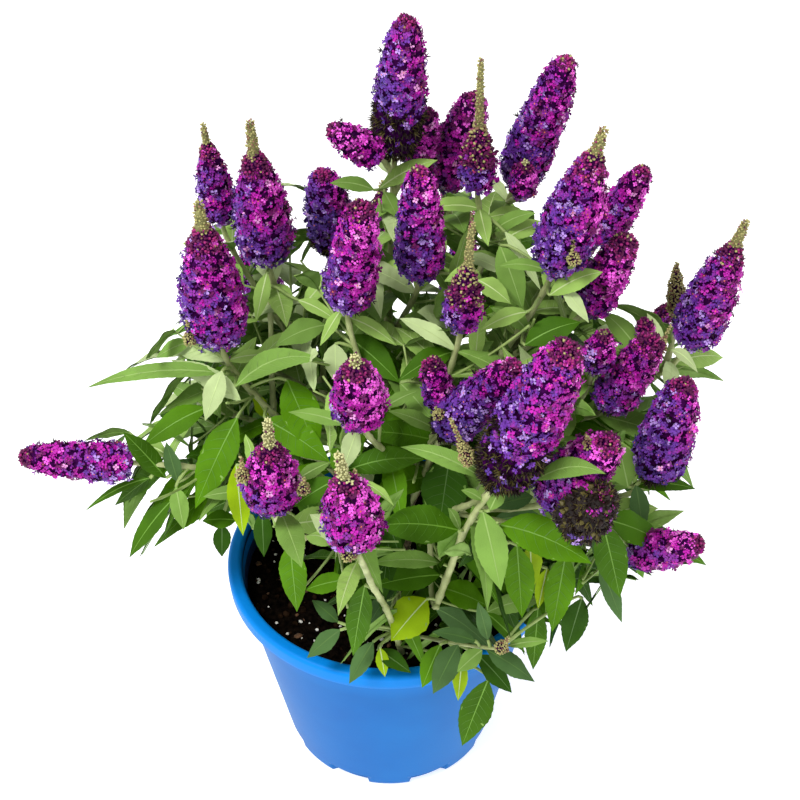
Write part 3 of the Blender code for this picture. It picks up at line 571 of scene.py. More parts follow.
SHOWN_LEAVES = (
    # left
    Shown((226, 374), (86, 388), 0.031, 0.045, 0.013, "sage", 0.34),
    Shown((222, 371), (205, 421), 0.038, 0.060, 0.016, "dusty", 0.15),
    Shown((236, 386), (326, 362), 0.040, 0.055, 0.018, "sage", 0.50),
    Shown((206, 408), (142, 447), 0.035, 0.055, 0.020, "fresh", 0.30),
    Shown((237, 418), (195, 509), 0.050, 0.085, 0.028, "fresh", 0.20),
    Shown((190, 342), (156, 358), 0.010, 0.020, 0.012, "sage"),
    Shown((166, 478), (123, 432), 0.072, 0.080, 0.017, "mid", 0.10),
    Shown((178, 482), (166, 442), 0.070, 0.072, 0.012, "shade", 0.10),
    Shown((170, 502), (129, 558), 0.070, 0.090, 0.017, "mid", 0.30),
    Shown((176, 487), (184, 530), 0.080, 0.098, 0.014, "sage", 0.15),
    Shown((150, 478), (85, 511), 0.078, 0.085, 0.007, "mid", 0.40),
    Shown((245, 492), (203, 497), 0.080, 0.085, 0.011, "sage", 0.20),
    Shown((236, 520), (202, 521), 0.070, 0.078, 0.015, "mid", 0.20),
    Shown((222, 525), (222, 557), 0.070, 0.078, 0.014, "deep", 0.10),
    Shown((236, 465), (243, 536), 0.080, 0.100, 0.018, "lime", 0.15),
    Shown((262, 512), (264, 557), 0.090, 0.098, 0.014, "deep", 0.10),
    Shown((281, 512), (302, 568), 0.158, 0.205, 0.018, "sage", 0.20),
    Shown((290, 545), (297, 612), 0.110, 0.118, 0.021, "fresh", 0.10),
    Shown((268, 417), (252, 394), 0.020, 0.022, 0.012, "lime", 0.10),
    Shown((287, 380), (318, 455), 0.030, 0.060, 0.029, "fresh", 0.15),
    Shown((346, 425), (288, 412), 0.110, 0.090, 0.012, "sage", 0.25),
    Shown((266, 420), (330, 462), 0.040, 0.070, 0.027, "fresh", 0.20),
    Shown((336, 480), (293, 507), 0.100, 0.112, 0.018, "mid", 0.20),
    Shown((297, 480), (331, 462), 0.140, 0.132, 0.010, "sage", 0.20),
    Shown((267, 273), (256, 322), -0.020, 0.000, 0.012, "pale", 0.15),
    # middle
    Shown((298, 300), (338, 322), 0.000, 0.012, 0.011, "pale"),
    Shown((325, 325), (275, 346), 0.010, 0.030, 0.019, "sage"),
    Shown((341, 310), (320, 346), 0.020, 0.032, 0.010, "pale", 0.20),
    Shown((335, 344), (336, 383), 0.030, 0.050, 0.018, "dusty", 0.10),
    Shown((350, 318), (397, 346), 0.020, 0.034, 0.012, "pale", 0.35),
    Shown((347, 336), (400, 383), 0.010, 0.036, 0.023, "mid", 0.20),
    Shown((452, 352), (398, 381), 0.040, 0.060, 0.018, "mid", 0.30),
    Shown((400, 383), (438, 427), 0.050, 0.072, 0.017, "sage", 0.20),
    Shown((384, 408), (418, 391), 0.080, 0.070, 0.010, "sage", 0.20),
    Shown((440, 432), (388, 411), 0.085, 0.100, 0.012, "sage", 0.20),
    Shown((440, 442), (362, 432), 0.070, 0.080, 0.021, "mid", 0.20),
    Shown((358, 428), (343, 471), 0.128, 0.132, 0.014, "dusty", 0.10),
    Shown((348, 470), (426, 459), 0.100, 0.105, 0.020, "mid", 0.30),
    Shown((482, 478), (400, 447), 0.148, 0.135, 0.013, "sage", 0.34),
    Shown((450, 455), (438, 537), 0.085, 0.115, 0.034, "deep", 0.10),
    Shown((458, 530), (376, 526), 0.140, 0.152, 0.028, "mid", 0.24),
    Shown((440, 563), (370, 564), 0.130, 0.136, 0.014, "sage", 0.30),
    Shown((440, 575), (375, 586), 0.122, 0.130, 0.021, "mid", 0.20),
    Shown((483, 512), (501, 591), 0.152, 0.176, 0.022, "sage", 0.15),
    Shown((500, 525), (592, 564), 0.153, 0.182, 0.028, "fresh", 0.34),
    Shown((482, 500), (461, 490), 0.150, 0.152, 0.007, "sage"),
    Shown((460, 530), (448, 508), 0.146, 0.150, 0.007, "sage"),
    Shown((490, 510), (503, 484), 0.152, 0.150, 0.012, "sage", 0.10),
    Shown((443, 588), (488, 606), 0.115, 0.125, 0.022, "fresh", 0.20),
    Shown((427, 599), (391, 641), 0.120, 0.138, 0.031, "lime", 0.15),
    Shown((365, 585), (353, 656), 0.145, 0.152, 0.020, "mid", 0.12),
    Shown((357, 562), (338, 616), 0.190, 0.252, 0.013, "pale", 0.25),
    Shown((345, 580), (305, 590), 0.120, 0.116, 0.016, "fresh", 0.20),
    Shown((338, 622), (312, 600), 0.110, 0.104, 0.012, "shade", 0.10),
    # over the rim
    Shown((340, 630), (307, 658), 0.125, 0.136, 0.015, "shade", 0.15),
    Shown((373, 642), (349, 684), 0.130, 0.146, 0.015, "shade", 0.15),
    Shown((378, 650), (411, 673), 0.130, 0.146, 0.014, "deep", 0.15),
    Shown((380, 648), (385, 677), 0.134, 0.143, 0.010, "lime", 0.10),
    Shown((440, 645), (422, 688), 0.130, 0.146, 0.017, "fresh", 0.15),
    Shown((458, 645), (433, 694), 0.135, 0.152, 0.020, "shade", 0.15),
    Shown((482, 650), (457, 672), 0.146, 0.156, 0.014, "sage", 0.15),
    Shown((487, 650), (535, 682), 0.146, 0.152, 0.018, "shade", 0.20),
    Shown((478, 655), (512, 693), 0.136, 0.146, 0.018, "deep", 0.15),
    Shown((462, 660), (458, 701), 0.136, 0.143, 0.012, "lime", 0.10),
    Shown((488, 680), (462, 746), 0.134, 0.146, 0.025, "mid", 0.08),
    Shown((475, 641), (432, 632), 0.145, 0.150, 0.011, "shade", 0.20),
    Shown((488, 640), (478, 602), 0.145, 0.150, 0.011, "shade", 0.10),
    Shown((507, 646), (549, 641), 0.150, 0.152, 0.008, "sage", 0.20),
    Shown((538, 608), (533, 670), 0.120, 0.130, 0.017, "mid", 0.10),
    # right
    Shown((517, 545), (522, 618), 0.130, 0.140, 0.023, "fresh", 0.10),
    Shown((530, 545), (532, 590), 0.124, 0.130, 0.017, "lime", 0.10),
    Shown((547, 568), (538, 609), 0.118, 0.124, 0.012, "lime", 0.10),
    Shown((566, 553), (552, 632), 0.120, 0.130, 0.022, "fresh", 0.10),
    Shown((582, 598), (566, 652), 0.108, 0.115, 0.020, "deep", 0.10),
    Shown((603, 525), (620, 598), 0.150, 0.160, 0.023, "mid", 0.12),
    Shown((607, 520), (666, 545), 0.140, 0.134, 0.024, "mid", 0.25),
    Shown((600, 565), (622, 623), 0.130, 0.140, 0.013, "shade", 0.12),
    Shown((595, 530), (598, 563), 0.140, 0.145, 0.008, "shade", 0.10),
    Shown((636, 485), (643, 534), 0.105, 0.122, 0.014, "shade", 0.15),
    Shown((632, 485), (696, 489), 0.100, 0.096, 0.013, "mid", 0.30),
    Shown((536, 480), (606, 474), 0.160, 0.184, 0.014, "sage", 0.45),
    Shown((628, 487), (617, 441), 0.105, 0.100, 0.021, "sage", 0.10),
    Shown((533, 497), (492, 507), 0.130, 0.136, 0.014, "shade", 0.20),
    Shown((640, 353), (602, 312), 0.020, 0.000, 0.016, "sage", 0.30),
    Shown((650, 357), (603, 352), 0.030, 0.032, 0.010, "sage", 0.35),
    Shown((663, 345), (647, 313), 0.020, 0.010, 0.009, "dusty", 0.10),
    Shown((671, 350), (698, 373), 0.030, 0.042, 0.009, "dusty", 0.70),
    Shown((550, 295), (603, 272), 0.030, 0.034, 0.016, "pale", 0.30),
    Shown((562, 288), (589, 323), 0.030, 0.044, 0.011, "dusty", 0.30),
    Shown((547, 271), (497, 267), 0.030, 0.040, 0.009, "sage", 0.35),
    Shown((492, 232), (536, 213), -0.030, -0.020, 0.012, "sage", 0.30),
    Shown((505, 232), (541, 291), -0.020, 0.002, 0.010, "dusty", 0.30),
    Shown((478, 280), (511, 304), 0.010, 0.024, 0.016, "pale", 0.25),
    Shown((527, 312), (480, 331), 0.030, 0.042, 0.013, "pale", 0.35),
    Shown((500, 245), (523, 311), -0.010, 0.012, 0.020, "sage", 0.15),
    Shown((525, 345), (581, 322), 0.040, 0.034, 0.020, "mid", 0.30),
    # top
    Shown((374, 190), (330, 183), -0.055, -0.050, 0.012, "sage", 0.30),
    Shown((380, 188), (438, 160), -0.055, -0.052, 0.014, "pale", 0.25),
    Shown((384, 192), (398, 218), -0.052, -0.045, 0.013, "sage", 0.15),
)

SHOWN_STEMS = (
    ShownStem(
        0.0027,
        0.0021,
        (
            Through(437, 603, 0.116), Through(449, 572, 0.127), Through(462, 535, 0.141),
            Through(479, 507, 0.149), Through(499, 479, 0.148),
        ),
    ),
    ShownStem(
        0.0024,
        0.0020,
        (
            Through(402, 655, 0.085), Through(397, 638, 0.108), Through(392, 622, 0.126),
            Through(385, 606, 0.137), Through(372, 585, 0.160), Through(364, 566, 0.185),
            Through(357, 553, 0.199),
        ),
    ),
    ShownStem(
        0.0023,
        0.0018,
        (
            Through(274, 418, 0.010), Through(272, 380, -0.005), Through(271, 330, -0.020),
            Through(269, 264, -0.032),
        ),
    ),
    ShownStem(
        0.0024,
        0.0019,
        (
            Through(408, 506, 0.072), Through(420, 484, 0.078), Through(432, 455, 0.083),
            Through(444, 430, 0.083),
        ),
    ),
    ShownStem(
        0.0014,
        0.0012,
        (
            Through(448, 642, 0.125), Through(472, 646, 0.140), Through(500, 649, 0.150),
        ),
    ),
)

SHOWN_BUDS = (
    ShownBud((243, 479), (241, 457), 0.175, 0.178, 0.009),
    ShownBud((303, 491), (304, 478), 0.172, 0.174, 0.009),
    ShownBud((349, 556), (348, 544), 0.214, 0.218, 0.010),
    ShownBud((356, 484), (355, 469), 0.190, 0.192, 0.008),
    ShownBud((470, 463), (450, 418), 0.152, 0.160, 0.010),
    ShownBud((439, 416), (436, 407), 0.100, 0.102, 0.009),
    ShownBud((574, 264), (573, 239), 0.046, 0.046, 0.009),
    ShownBud((658, 352), (671, 325), 0.034, 0.030, 0.009),
    ShownBud((500, 649), (509, 637), 0.152, 0.156, 0.011),
    ShownBud((190, 344), (187, 318), 0.050, 0.052, 0.008),
    ShownBud((590, 446), (586, 434), 0.165, 0.166, 0.008),
)


# Curves of the boughs and shoots


def unit(vectors):
    """Vectors brought to length one, along the last axis."""
    return vectors / np.linalg.norm(vectors, axis=-1, keepdims=True)


def polar(around, out, up):
    """The place at a bearing in degrees, a distance from the middle, and a height."""
    angle = math.radians(around)
    return Vector((out * math.cos(angle), out * math.sin(angle), up))


def pointing(lean, toward):
    """The unit vector that leans this far from the vertical, towards that bearing."""
    tilt = math.radians(lean)
    flat = polar(toward, math.sin(tilt), 0.0)
    return Vector((flat.x, flat.y, math.cos(tilt)))


def foot_of(end):
    """Where a shoot ends, and its bloom begins."""
    return polar(end.around, end.out, end.up)


def axis_of(end):
    """The direction that a shoot's end and its bloom point to."""
    return pointing(end.lean, end.toward)


def hermite(start, start_pull, finish, finish_pull, t):
    """A point of the cubic that leaves start along start_pull and reaches finish along finish_pull."""
    a = 2 * t**3 - 3 * t**2 + 1
    b = t**3 - 2 * t**2 + t
    c = -2 * t**3 + 3 * t**2
    d = t**3 - t**2
    return start * a + start_pull * b + finish * c + finish_pull * d


def curve_of(start, heading, finish, arrival, first=0.0, last=1.0, count=SHOOT_POINTS):
    """Points along the arching shoot from start to finish, between two shares of its length."""
    reach = (finish - start).length
    shares = [first + (last - first) * i / (count - 1) for i in range(count)]
    return [hermite(start, heading * reach, finish, arrival * reach * ARRIVAL_PULL, t) for t in shares]


def seats():
    """Where each mass's bough stands on the trunk's head: high, central masses on the inner ring."""
    top = SOIL_TOP + SOIL_CROWN + GAP + TRUNK_HEIGHT + GAP
    found = {}
    for radius in (INNER_SEATS_RADIUS, OUTER_SEATS_RADIUS):
        inner = radius == INNER_SEATS_RADIUS
        names = [name for name, mass in MASSES.items() if (mass.main.out < INNER_REACH) == inner]
        names.sort(key=lambda name: MASSES[name].main.around % 360)
        first = MASSES[names[0]].main.around % 360
        for i, name in enumerate(names):
            found[name] = polar(first + 360 * i / len(names), radius, top)
    return found


SEATS = seats()


def main_curve(name, first, last, count=SHOOT_POINTS):
    """Points of a mass's main line, which is its bough and then its stem."""
    end = MASSES[name].main
    seat = SEATS[name]
    outward = (foot_of(end) - seat).normalized()
    heading = (Vector((0, 0, 1.0)) + outward * BOUGH_SPREAD).normalized()
    return curve_of(seat, heading, foot_of(end), axis_of(end), first, last, count)


def side_curve(name, side):
    """Points of a side shoot, which forks off its mass's stem at a narrow angle."""
    start, ahead = main_curve(name, side.share, min(side.share + 0.02, 1.0), 2)
    finish = foot_of(side.end)
    heading = ((ahead - start).normalized() + (finish - start).normalized() * FORK_SPREAD).normalized()
    return curve_of(start, heading, finish, axis_of(side.end))


def ends_of(mass):
    """The ends of a mass's stem and of its side shoots."""
    return [mass.main] + [side.end for side in mass.sides]


def shoots_of(name):
    """(end, points) for every shoot of a mass, its stem first."""
    mass = MASSES[name]
    lines = [(mass.main, main_curve(name, BOUGH_SHARE, 1.0))]
    return lines + [(side.end, side_curve(name, side)) for side in mass.sides]


# Space: every mass keeps to the points that are nearest to its own shoots and blooms.


def along(points, step):
    """Places along a polyline, one each step, as (place, direction, share of the whole length)."""
    lengths = [(b - a).length for a, b in zip(points, points[1:])]
    total = sum(lengths)
    count = max(1, int(total / step))
    found = []
    for i in range(count + 1):
        left = total * i / count
        for a, b, length in zip(points, points[1:], lengths):
            if left <= length or b is points[-1]:
                found.append((a.lerp(b, min(1.0, left / length)), (b - a).normalized(), i / count))
                break
            left -= length
    return found


def girth_share(share, tail):
    """A spike's radius against its greatest, at a share of its length. Its tail is thin buds."""
    foot = 0.62 + 0.38 * math.sin(math.pi / 2 * min(1.0, share / 0.20))
    if tail > SHORT_TAIL:
        body = share / (1 - tail)
        if body < 1:
            return foot * (1 - 0.79 * body ** (3.2 if tail < LONG_TAIL else 1.9))
        return 0.21 - 0.08 * (share - 1 + tail) / tail
    dome = max(0.0, (share - DOME_FROM) / (1 - DOME_FROM))
    return foot * (1 - 0.52 * share**2.4) * math.sqrt(max(0.0, 1 - dome**2))


def spike_spots(end, count, swell):
    """(place, radius) of spots along a spike's axis."""
    found = []
    for share in [(i + 0.5) / count for i in range(count)]:
        place = foot_of(end) + axis_of(end) * end.length * share
        found.append((place, end.girth / 2 * girth_share(share, end.tail) * swell))
    return found


def guards():
    """Arrays of the places that shoots and blooms take up: points, radii and their masses' numbers."""
    found = []
    for number, name in enumerate(MASSES):
        for end, points in shoots_of(name):
            found += [(place, STEM_RADIUS, number) for place, _, _ in along(points, SAMPLE_STEP)]
            if isinstance(end, Bloom):
                found += [(*spot, number) for spot in spike_spots(end, GUARD_SPOTS, GUARD_SWELL)]
    places, radii, owners = zip(*found)
    return np.array(places), np.array(radii), np.array(owners)


GUARD_PLACES, GUARD_RADII, GUARD_OWNERS = guards()
BOUGHS = [main_curve(name, 0, BOUGH_SHARE) for name in MASSES]
BOUGH_PLACES = np.array([place for bough in BOUGHS for place, _, _ in along(bough, SAMPLE_STEP)])
LIMB_PLACES = np.concatenate([GUARD_PLACES[GUARD_RADII == STEM_RADIUS], BOUGH_PLACES])
CARRIERS = []  # places along the stems that the photograph shows


def from_photo(pixel, near):
    """The place that this pixel of the photograph shows, where it stands this near to the camera."""
    across = (pixel[0] - CENTRE) / FOCAL_PIXELS
    rise = (CENTRE - pixel[1]) / FOCAL_PIXELS
    ray = Vector((1, 0, 0)) * across + SIGHT_UP * rise + SIGHT
    return EYE + ray * ((-near - EYE.y) / ray.y)


def foot_and_tip(shown):
    """Where a shown leaf or bud begins and ends."""
    return from_photo(shown.foot_pixel, shown.near), from_photo(shown.tip_pixel, shown.reach)


def seen_at(spots):
    """Where points stand in the photograph: pixels across and down, and how far from the eye."""
    away = spots - np.array(EYE)
    depth = away @ np.array(SIGHT)
    across = CENTRE + FOCAL_PIXELS * away[:, 0] / depth
    down = CENTRE - FOCAL_PIXELS * (away @ np.array(SIGHT_UP)) / depth
    return across, down, depth


def kept_in_view():
    """Discs on the photograph, with their depth, that the blooms and leaves in its view fill."""
    found = []
    for mass in (mass for name, mass in MASSES.items() if name not in HIDDEN_MASSES):
        for end in ends_of(mass):
            if isinstance(end, Bloom):
                found += spike_spots(end, SPIKE_VIEW_SPOTS, SPIKE_VIEW_SHARE)
    for shown in SHOWN_LEAVES:
        foot, tip = foot_and_tip(shown)
        for share in LEAF_VIEW_SHARES:
            found.append((foot.lerp(tip, share), shown.width / 2 * float(blade_width(np.array(share)))))
    for stem in SHOWN_STEMS:
        found += [(from_photo(point[:2], point.near), STEM_VIEW_RADIUS) for point in stem.points]
    places, radii = zip(*found)
    across, down, depth = seen_at(np.array(places))
    return across, down, depth, np.array(radii) * FOCAL_PIXELS / depth


def blade_width(s):
    """Half of the blade's width against the greatest, at a share of its length: a long egg."""
    egg = s**0.9 * (1 - s) ** 1.15 / 0.2452  # the product's greatest value
    return np.maximum(egg, 0.07 * (1 - s))


KEPT_ACROSS, KEPT_DOWN, KEPT_DEPTH, KEPT_RADIUS = kept_in_view()
SKY_PLACES = np.array(SKIES, dtype=float)


def spoils_view(spots):
    """Whether points stand in open sky, or in front of what the photograph shows."""
    across, down, depth = (part[:, None] for part in seen_at(spots))
    if (np.hypot(across - SKY_PLACES[:, 0], down - SKY_PLACES[:, 1]) < SKY_PLACES[:, 2]).any():
        return True
    close = np.hypot(across - KEPT_ACROSS, down - KEPT_DOWN) < KEPT_RADIUS
    return bool((close & (depth < KEPT_DEPTH - VIEW_MARGIN)).any())


def hides_mouth(spots):
    """Which points stand between the eye and the part of the pot's mouth that is left bare."""
    eye = np.array(EYE)
    drop = (eye[2] - POT_HEIGHT) / (eye[2] - spots[:, 2])
    seen = eye + (spots - eye) * drop[:, None]
    out = np.hypot(seen[:, 0], seen[:, 1])
    bearing = np.degrees(np.arctan2(seen[:, 1], seen[:, 0])) % 360
    over = (spots[:, 2] > POT_HEIGHT - 0.01) & (out > BARE_INNER) & (out < BARE_OUTER)
    return over & (bearing > BARE_FROM) & (bearing < BARE_TO)


def in_crown(spots):
    """Whether points are under the crown's roof, and clear of the pot, trunk and bare side."""
    out = np.hypot(spots[:, 0], spots[:, 1])
    up = spots[:, 2]
    under_roof = up < ROOF_HEIGHT - ROOF_SLOPE * out
    low, high = np.array(CAD_BOX[0]) - BOX_SLACK, np.array(CAD_BOX[1]) + BOX_SLACK
    in_box = ((spots > low) & (spots < high)).all(axis=1)
    off_trunk = out > TRUNK_HEAD_RADIUS + HEAD_CLEARANCE
    off_trunk |= up > SOIL_TOP + TRUNK_HEIGHT + FORK_CLEARANCE
    beside = (out > RIM_RADIUS + RIM_CLEARANCE) & (up > HANG_LIMIT)
    inside = (out > TRUNK_FOOT_RADIUS + FLARE_CLEARANCE) & (out < LIP_RADIUS - LIP_CLEARANCE)
    inside &= up > SOIL_TOP + SOIL_CROWN + POT_CLEARANCE
    clear = np.where(up > POT_HEIGHT + POT_CLEARANCE, off_trunk, beside | inside)
    return (under_roof & in_box & ~hides_mouth(spots) & clear).all() and not spoils_view(spots)


def space_for(owner, spots, root, length, clearance, margin=SPACE_MARGIN):
    """Whether points lie in a mass's space, clear of its own shoots, of limbs and of the pot."""
    if not in_crown(spots):
        return False
    near = np.linalg.norm(GUARD_PLACES - np.array(root), axis=1) < length + GUARD_REACH
    apart = np.linalg.norm(spots[:, None] - GUARD_PLACES[near][None], axis=2) - GUARD_RADII[near]
    own = GUARD_OWNERS[near] == owner
    if not own.all():
        if (apart[:, own].min(axis=1) + margin > apart[:, ~own].min(axis=1)).any():
            return False
        if apart[:, ~own].min() < TWIG_CLEARANCE:
            return False
    if apart[spots.shape[0] // 4 :, own].min() < clearance:
        return False
    return np.linalg.norm(spots[:, None] - BOUGH_PLACES[None], axis=2).min() > LIMB_CLEARANCE


# Leaves: opposite pairs, each pair a quarter turn on from the last.

Leaf = namedtuple("Leaf", "root ahead across face length width droop twist fold bend phase up_share")


def leaf_at(place, heading, turn, share, size, rng):
    """One leaf, which stands out from its shoot on the side that turn gives."""
    out = heading.orthogonal().normalized()
    out.rotate(Matrix.Rotation(turn, 3, heading))
    spread = math.radians(rng.uniform(*LEAF_SPREAD))
    ahead = heading * math.cos(spread) + out * math.sin(spread)
    ahead.z -= LEAF_SAG + LOW_LEAF_SAG * (1 - share)
    ahead.normalize()
    across = heading.cross(ahead).normalized()
    face = ahead.cross(across).normalized()
    if face.z < 0:
        face, across = -face, -across
    length = size * rng.uniform(*LEAF_LENGTHS)
    width = length * LEAF_WIDTH_SHARE * rng.uniform(*LEAF_WIDTHS)
    droop = rng.uniform(*LEAF_DROOP)
    twist = rng.uniform(-LEAF_TWIST, LEAF_TWIST)
    fold = rng.uniform(*LEAF_FOLD)
    bend = rng.uniform(-LEAF_BEND, LEAF_BEND)
    phase = rng.uniform(*PHASES)
    root = place - heading * LEAF_SINK
    return Leaf(root, ahead, across, face, length, width, droop, twist, fold, bend, phase, share)


def blade_points(leaf, s, t, lift=0.0, quilt=0.0):
    """Points of the blade at shares s of its length and t of its half width, lift above its face."""
    s, t = np.broadcast_arrays(np.asarray(s, float), np.asarray(t, float))
    side0, face0, ahead = np.array(leaf.across), np.array(leaf.face), np.array(leaf.ahead)
    turn = (leaf.twist * s)[..., None]
    side = side0 * np.cos(turn) + face0 * np.sin(turn)
    course = ahead * leaf.length - np.array([0, 0, 2.0]) * (leaf.droop * leaf.length * s)[..., None]
    up = unit(np.cross(course, side))
    half = leaf.width / 2 * blade_width(s)
    size = np.abs(t)
    height = half * (leaf.fold * size - CUP * size**2)
    height += half * WAVE * size**2 * np.sin(TURN * WAVES * s + leaf.phase + 1.4 * np.sign(t))
    ridge = np.cos(TURN * (s - VEIN_SWEEP * size**1.4 - VEINS_FROM) / VEIN_PITCH)
    ridge *= size * (1 - size) * 3 * np.minimum(1, 6 * (1 - s)) * np.minimum(1, 8 * s)
    height -= quilt * leaf.length * ridge
    spine = np.array(leaf.root) + ahead * (leaf.length * s)[..., None]
    spine[..., 2] -= leaf.droop * leaf.length * s**2
    spine += side0 * (leaf.bend * leaf.length * s**2)[..., None]
    return spine + side * (t * half)[..., None] + up * (height + lift)[..., None]


def leaf_samples(leaf):
    """Points all over the blade, from its root outwards."""
    s = np.repeat(np.arange(1, 8) / 7, 3)
    t = np.tile([-1.0, 0.0, 1.0], 7)
    return blade_points(leaf, s, t)


def leaf_outline(leaf):
    """The blade as a kite, without its root, for telling whether two leaves cross."""
    corners = blade_points(leaf, [0.14, 0.42, 1.0, 0.42], [0, 1.0, 0, -1.0])
    return BVHTree.FromPolygons([Vector(c) for c in corners], [(0, 1, 3), (1, 2, 3)])


def sprig_at(place, heading, attempt, rng):
    """Length and points of a twig that forks off a shoot, a little shorter at each attempt."""
    turn = Matrix.Rotation(rng.uniform(0, TURN), 3, heading)
    lean = math.radians(rng.uniform(*SPRIG_LEAN))
    ahead = heading * math.cos(lean) + turn @ heading.orthogonal().normalized() * math.sin(lean)
    length = SPRIG_LENGTH * rng.uniform(*SPRIG_LENGTHS) * (1 - SPRIG_SHRINK * attempt / SPRIG_TRIES)
    rise = Vector((0, 0, SPRIG_RISE * length))
    return length, [place + ahead * length * share + rise * share**2 for share in SPRIG_POINTS]


def sprigs_of(number, name, rng):
    """The leafy twigs that fork off a mass's shoots, each one as its points, where there is space."""
    grown = []
    for _, points in shoots_of(name):
        stops = along(points, SAMPLE_STEP)
        for share in SPRIG_SHARES:
            place, heading, _ = stops[round(share * (len(stops) - 1))]
            for attempt in range(SPRIG_TRIES):
                length, twig = sprig_at(place, heading, attempt, rng)
                ends = np.array([twig[2], twig[3], twig[5], twig[6]])
                others = [p for other in grown for p, _, _ in along(other, SAMPLE_STEP)]
                apart = math.inf
                if others:
                    apart = np.linalg.norm(ends[:, None] - np.array(others)[None], axis=2).min()
                if space_for(number, ends, place, length, SPRIG_ROOM) and apart > SPRIG_ROOM:
                    grown.append(twig)
                    break
    return grown


class Canopy:
    """The leaves grown so far, for telling whether a new one would cross any of them."""

    def __init__(self):
        self.middles = np.empty((0, 3))
        self.lengths = np.empty(0)
        self.outlines = []

    def takes(self, leaf):
        """Adds the leaf if it crosses no other, and says whether it did."""
        middle = np.array(leaf.root + leaf.ahead * leaf.length / 2)
        outline = leaf_outline(leaf)
        apart = np.linalg.norm(self.middles - middle, axis=1)
        for i in np.flatnonzero(apart < (self.lengths + leaf.length) * CROSSING_REACH):
            if outline.overlap(self.outlines[i]):
                return False
        self.middles = np.vstack([self.middles, middle])
        self.lengths = np.append(self.lengths, leaf.length)
        self.outlines.append(outline)
        return True


CANOPY = Canopy()


def leaves_of(number, lines, rng):
    """The leaves along a mass's shoots and sprigs. At each place a few turns and sizes are tried."""
    grown = []
    room = TWIG_CLEARANCE, -LEAF_TRESPASS
    internode = HIGH_INTERNODE if list(MASSES.values())[number].main.up > HIGH_UP else LOW_INTERNODE
    for i, points in enumerate(lines):
        turn = rng.uniform(0, math.pi)
        first = BARE_STEM_SHARE if i == 0 else BARE_SIDE_SHARE
        for place, heading, share in along(points, internode):
            turn += math.pi / 2
            if share < first:
                continue
            size = LEAF_LENGTH * (1 - (1 - LEAF_TOP_SHARE) * share**1.5)
            for side in (0, math.pi):
                for attempt in range(LEAF_TRIES):
                    smaller = 1 - LEAF_SHRINK * attempt / LEAF_TRIES
                    swing = rng.uniform(-1, 1) * min(MOST_SWING, SWING_STEP + SWING_STEP * attempt)
                    leaf = leaf_at(place, heading, turn + side + swing, share, size * smaller, rng)
                    if not space_for(number, leaf_samples(leaf), leaf.root, leaf.length, *room):
                        continue
                    if CANOPY.takes(leaf):
                        grown.append(leaf)
                        break
    return grown


# Meshes from arrays


class Heap:
    """Points and faces of one kind of small thing, gathered from all over the plant."""

    def __init__(self):
        self.points = []
        self.faces = []
        self.count = 0

    def add(self, points, faces):
        self.points.append(points.reshape(-1, 3))
        self.faces.append(faces + self.count)
        self.count += len(self.points[-1])


HEAPS = defaultdict(Heap)


def linked(name, data):
    """A new object in the scene."""
    made = bpy.data.objects.new(name, data)
    bpy.context.scene.collection.objects.link(made)
    return made


def mesh_object(name, points, faces, material, smooth=True):
    """An object from an array of points and an array of faces with the same number of corners."""
    data = bpy.data.meshes.new(name)
    data.vertices.add(len(points))
    data.vertices.foreach_set("co", points.astype(np.float32).ravel())
    data.loops.add(faces.size)
    data.loops.foreach_set("vertex_index", faces.astype(np.int32).ravel())
    data.polygons.add(len(faces))
    data.polygons.foreach_set("loop_start", np.arange(0, faces.size, faces.shape[1], dtype=np.int32))
    data.polygons.foreach_set("use_smooth", np.full(len(faces), smooth))
    data.update(calc_edges=True)
    data.materials.append(material)
    made = linked(name, data)
    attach(made, "root")
    return made


def heap_objects(kind, material, smooth=True):
    """A heap as one or more objects, none of them over the limit."""
    heap = HEAPS[kind]
    faces = np.concatenate(heap.faces)
    points = np.concatenate(heap.points)
    count = math.ceil(len(faces) * (faces.shape[1] - 2) / PIECE_LIMIT)
    made = []
    for i, part in enumerate(np.array_split(faces, count)):
        used, order = np.unique(part, return_inverse=True)
        name = kind if count == 1 else f"{kind}_{i + 1}"
        made.append(mesh_object(name, points[used], order.reshape(part.shape), material, smooth))
    return made


def grid_faces(rows, columns, closed=False):
    """Quads of a grid of points whose rows are stored one after another."""
    last = columns if closed else columns - 1
    r, c = np.meshgrid(np.arange(rows - 1), np.arange(last), indexing="ij")
    right = (c + 1) % columns
    corners = [r * columns + c, r * columns + right, (r + 1) * columns + right, (r + 1) * columns + c]
    return np.stack(corners, axis=-1).reshape(-1, 4)


def full_turn(count):
    """Evenly spaced angles around a ring."""
    return np.linspace(0, TURN, count, endpoint=False)


def turned(radius, height, angles):
    """Points of a shape turned about Z, from columns of radii and heights."""
    x, y, z = np.broadcast_arrays(radius * np.cos(angles), radius * np.sin(angles), height)
    return np.stack([x, y, z], axis=-1)


def steps_along(points):
    """How far each point of a line stands from its first, along the line."""
    return np.concatenate([[0], np.cumsum(np.linalg.norm(np.diff(points, axis=0), axis=1))])


def points_along(points, steps, at):
    """The points of a line that stand this far along it."""
    return np.stack([np.interp(at, steps, column) for column in points.T], axis=1)


def tube(heap, points, radii, sides=TUBE_SIDES):
    """A tube along points, with a radius at each, whose ends are drawn in."""
    points = np.array(points)
    tangents = unit(np.gradient(points, axis=0))
    first = unit(np.cross(tangents, [0.31, 0.95, 0.05]))
    second = np.cross(tangents, first)
    angles = full_turn(sides)[None, :, None]
    ring = first[:, None] * np.cos(angles) + second[:, None] * np.sin(angles)
    body = points[:, None] + ring * np.array(radii)[:, None, None]
    body = np.concatenate([points[:1, None].repeat(sides, 1), body, points[-1:, None].repeat(sides, 1)])
    HEAPS[heap].add(body, grid_faces(len(body), sides, True))


# Leaves as meshes


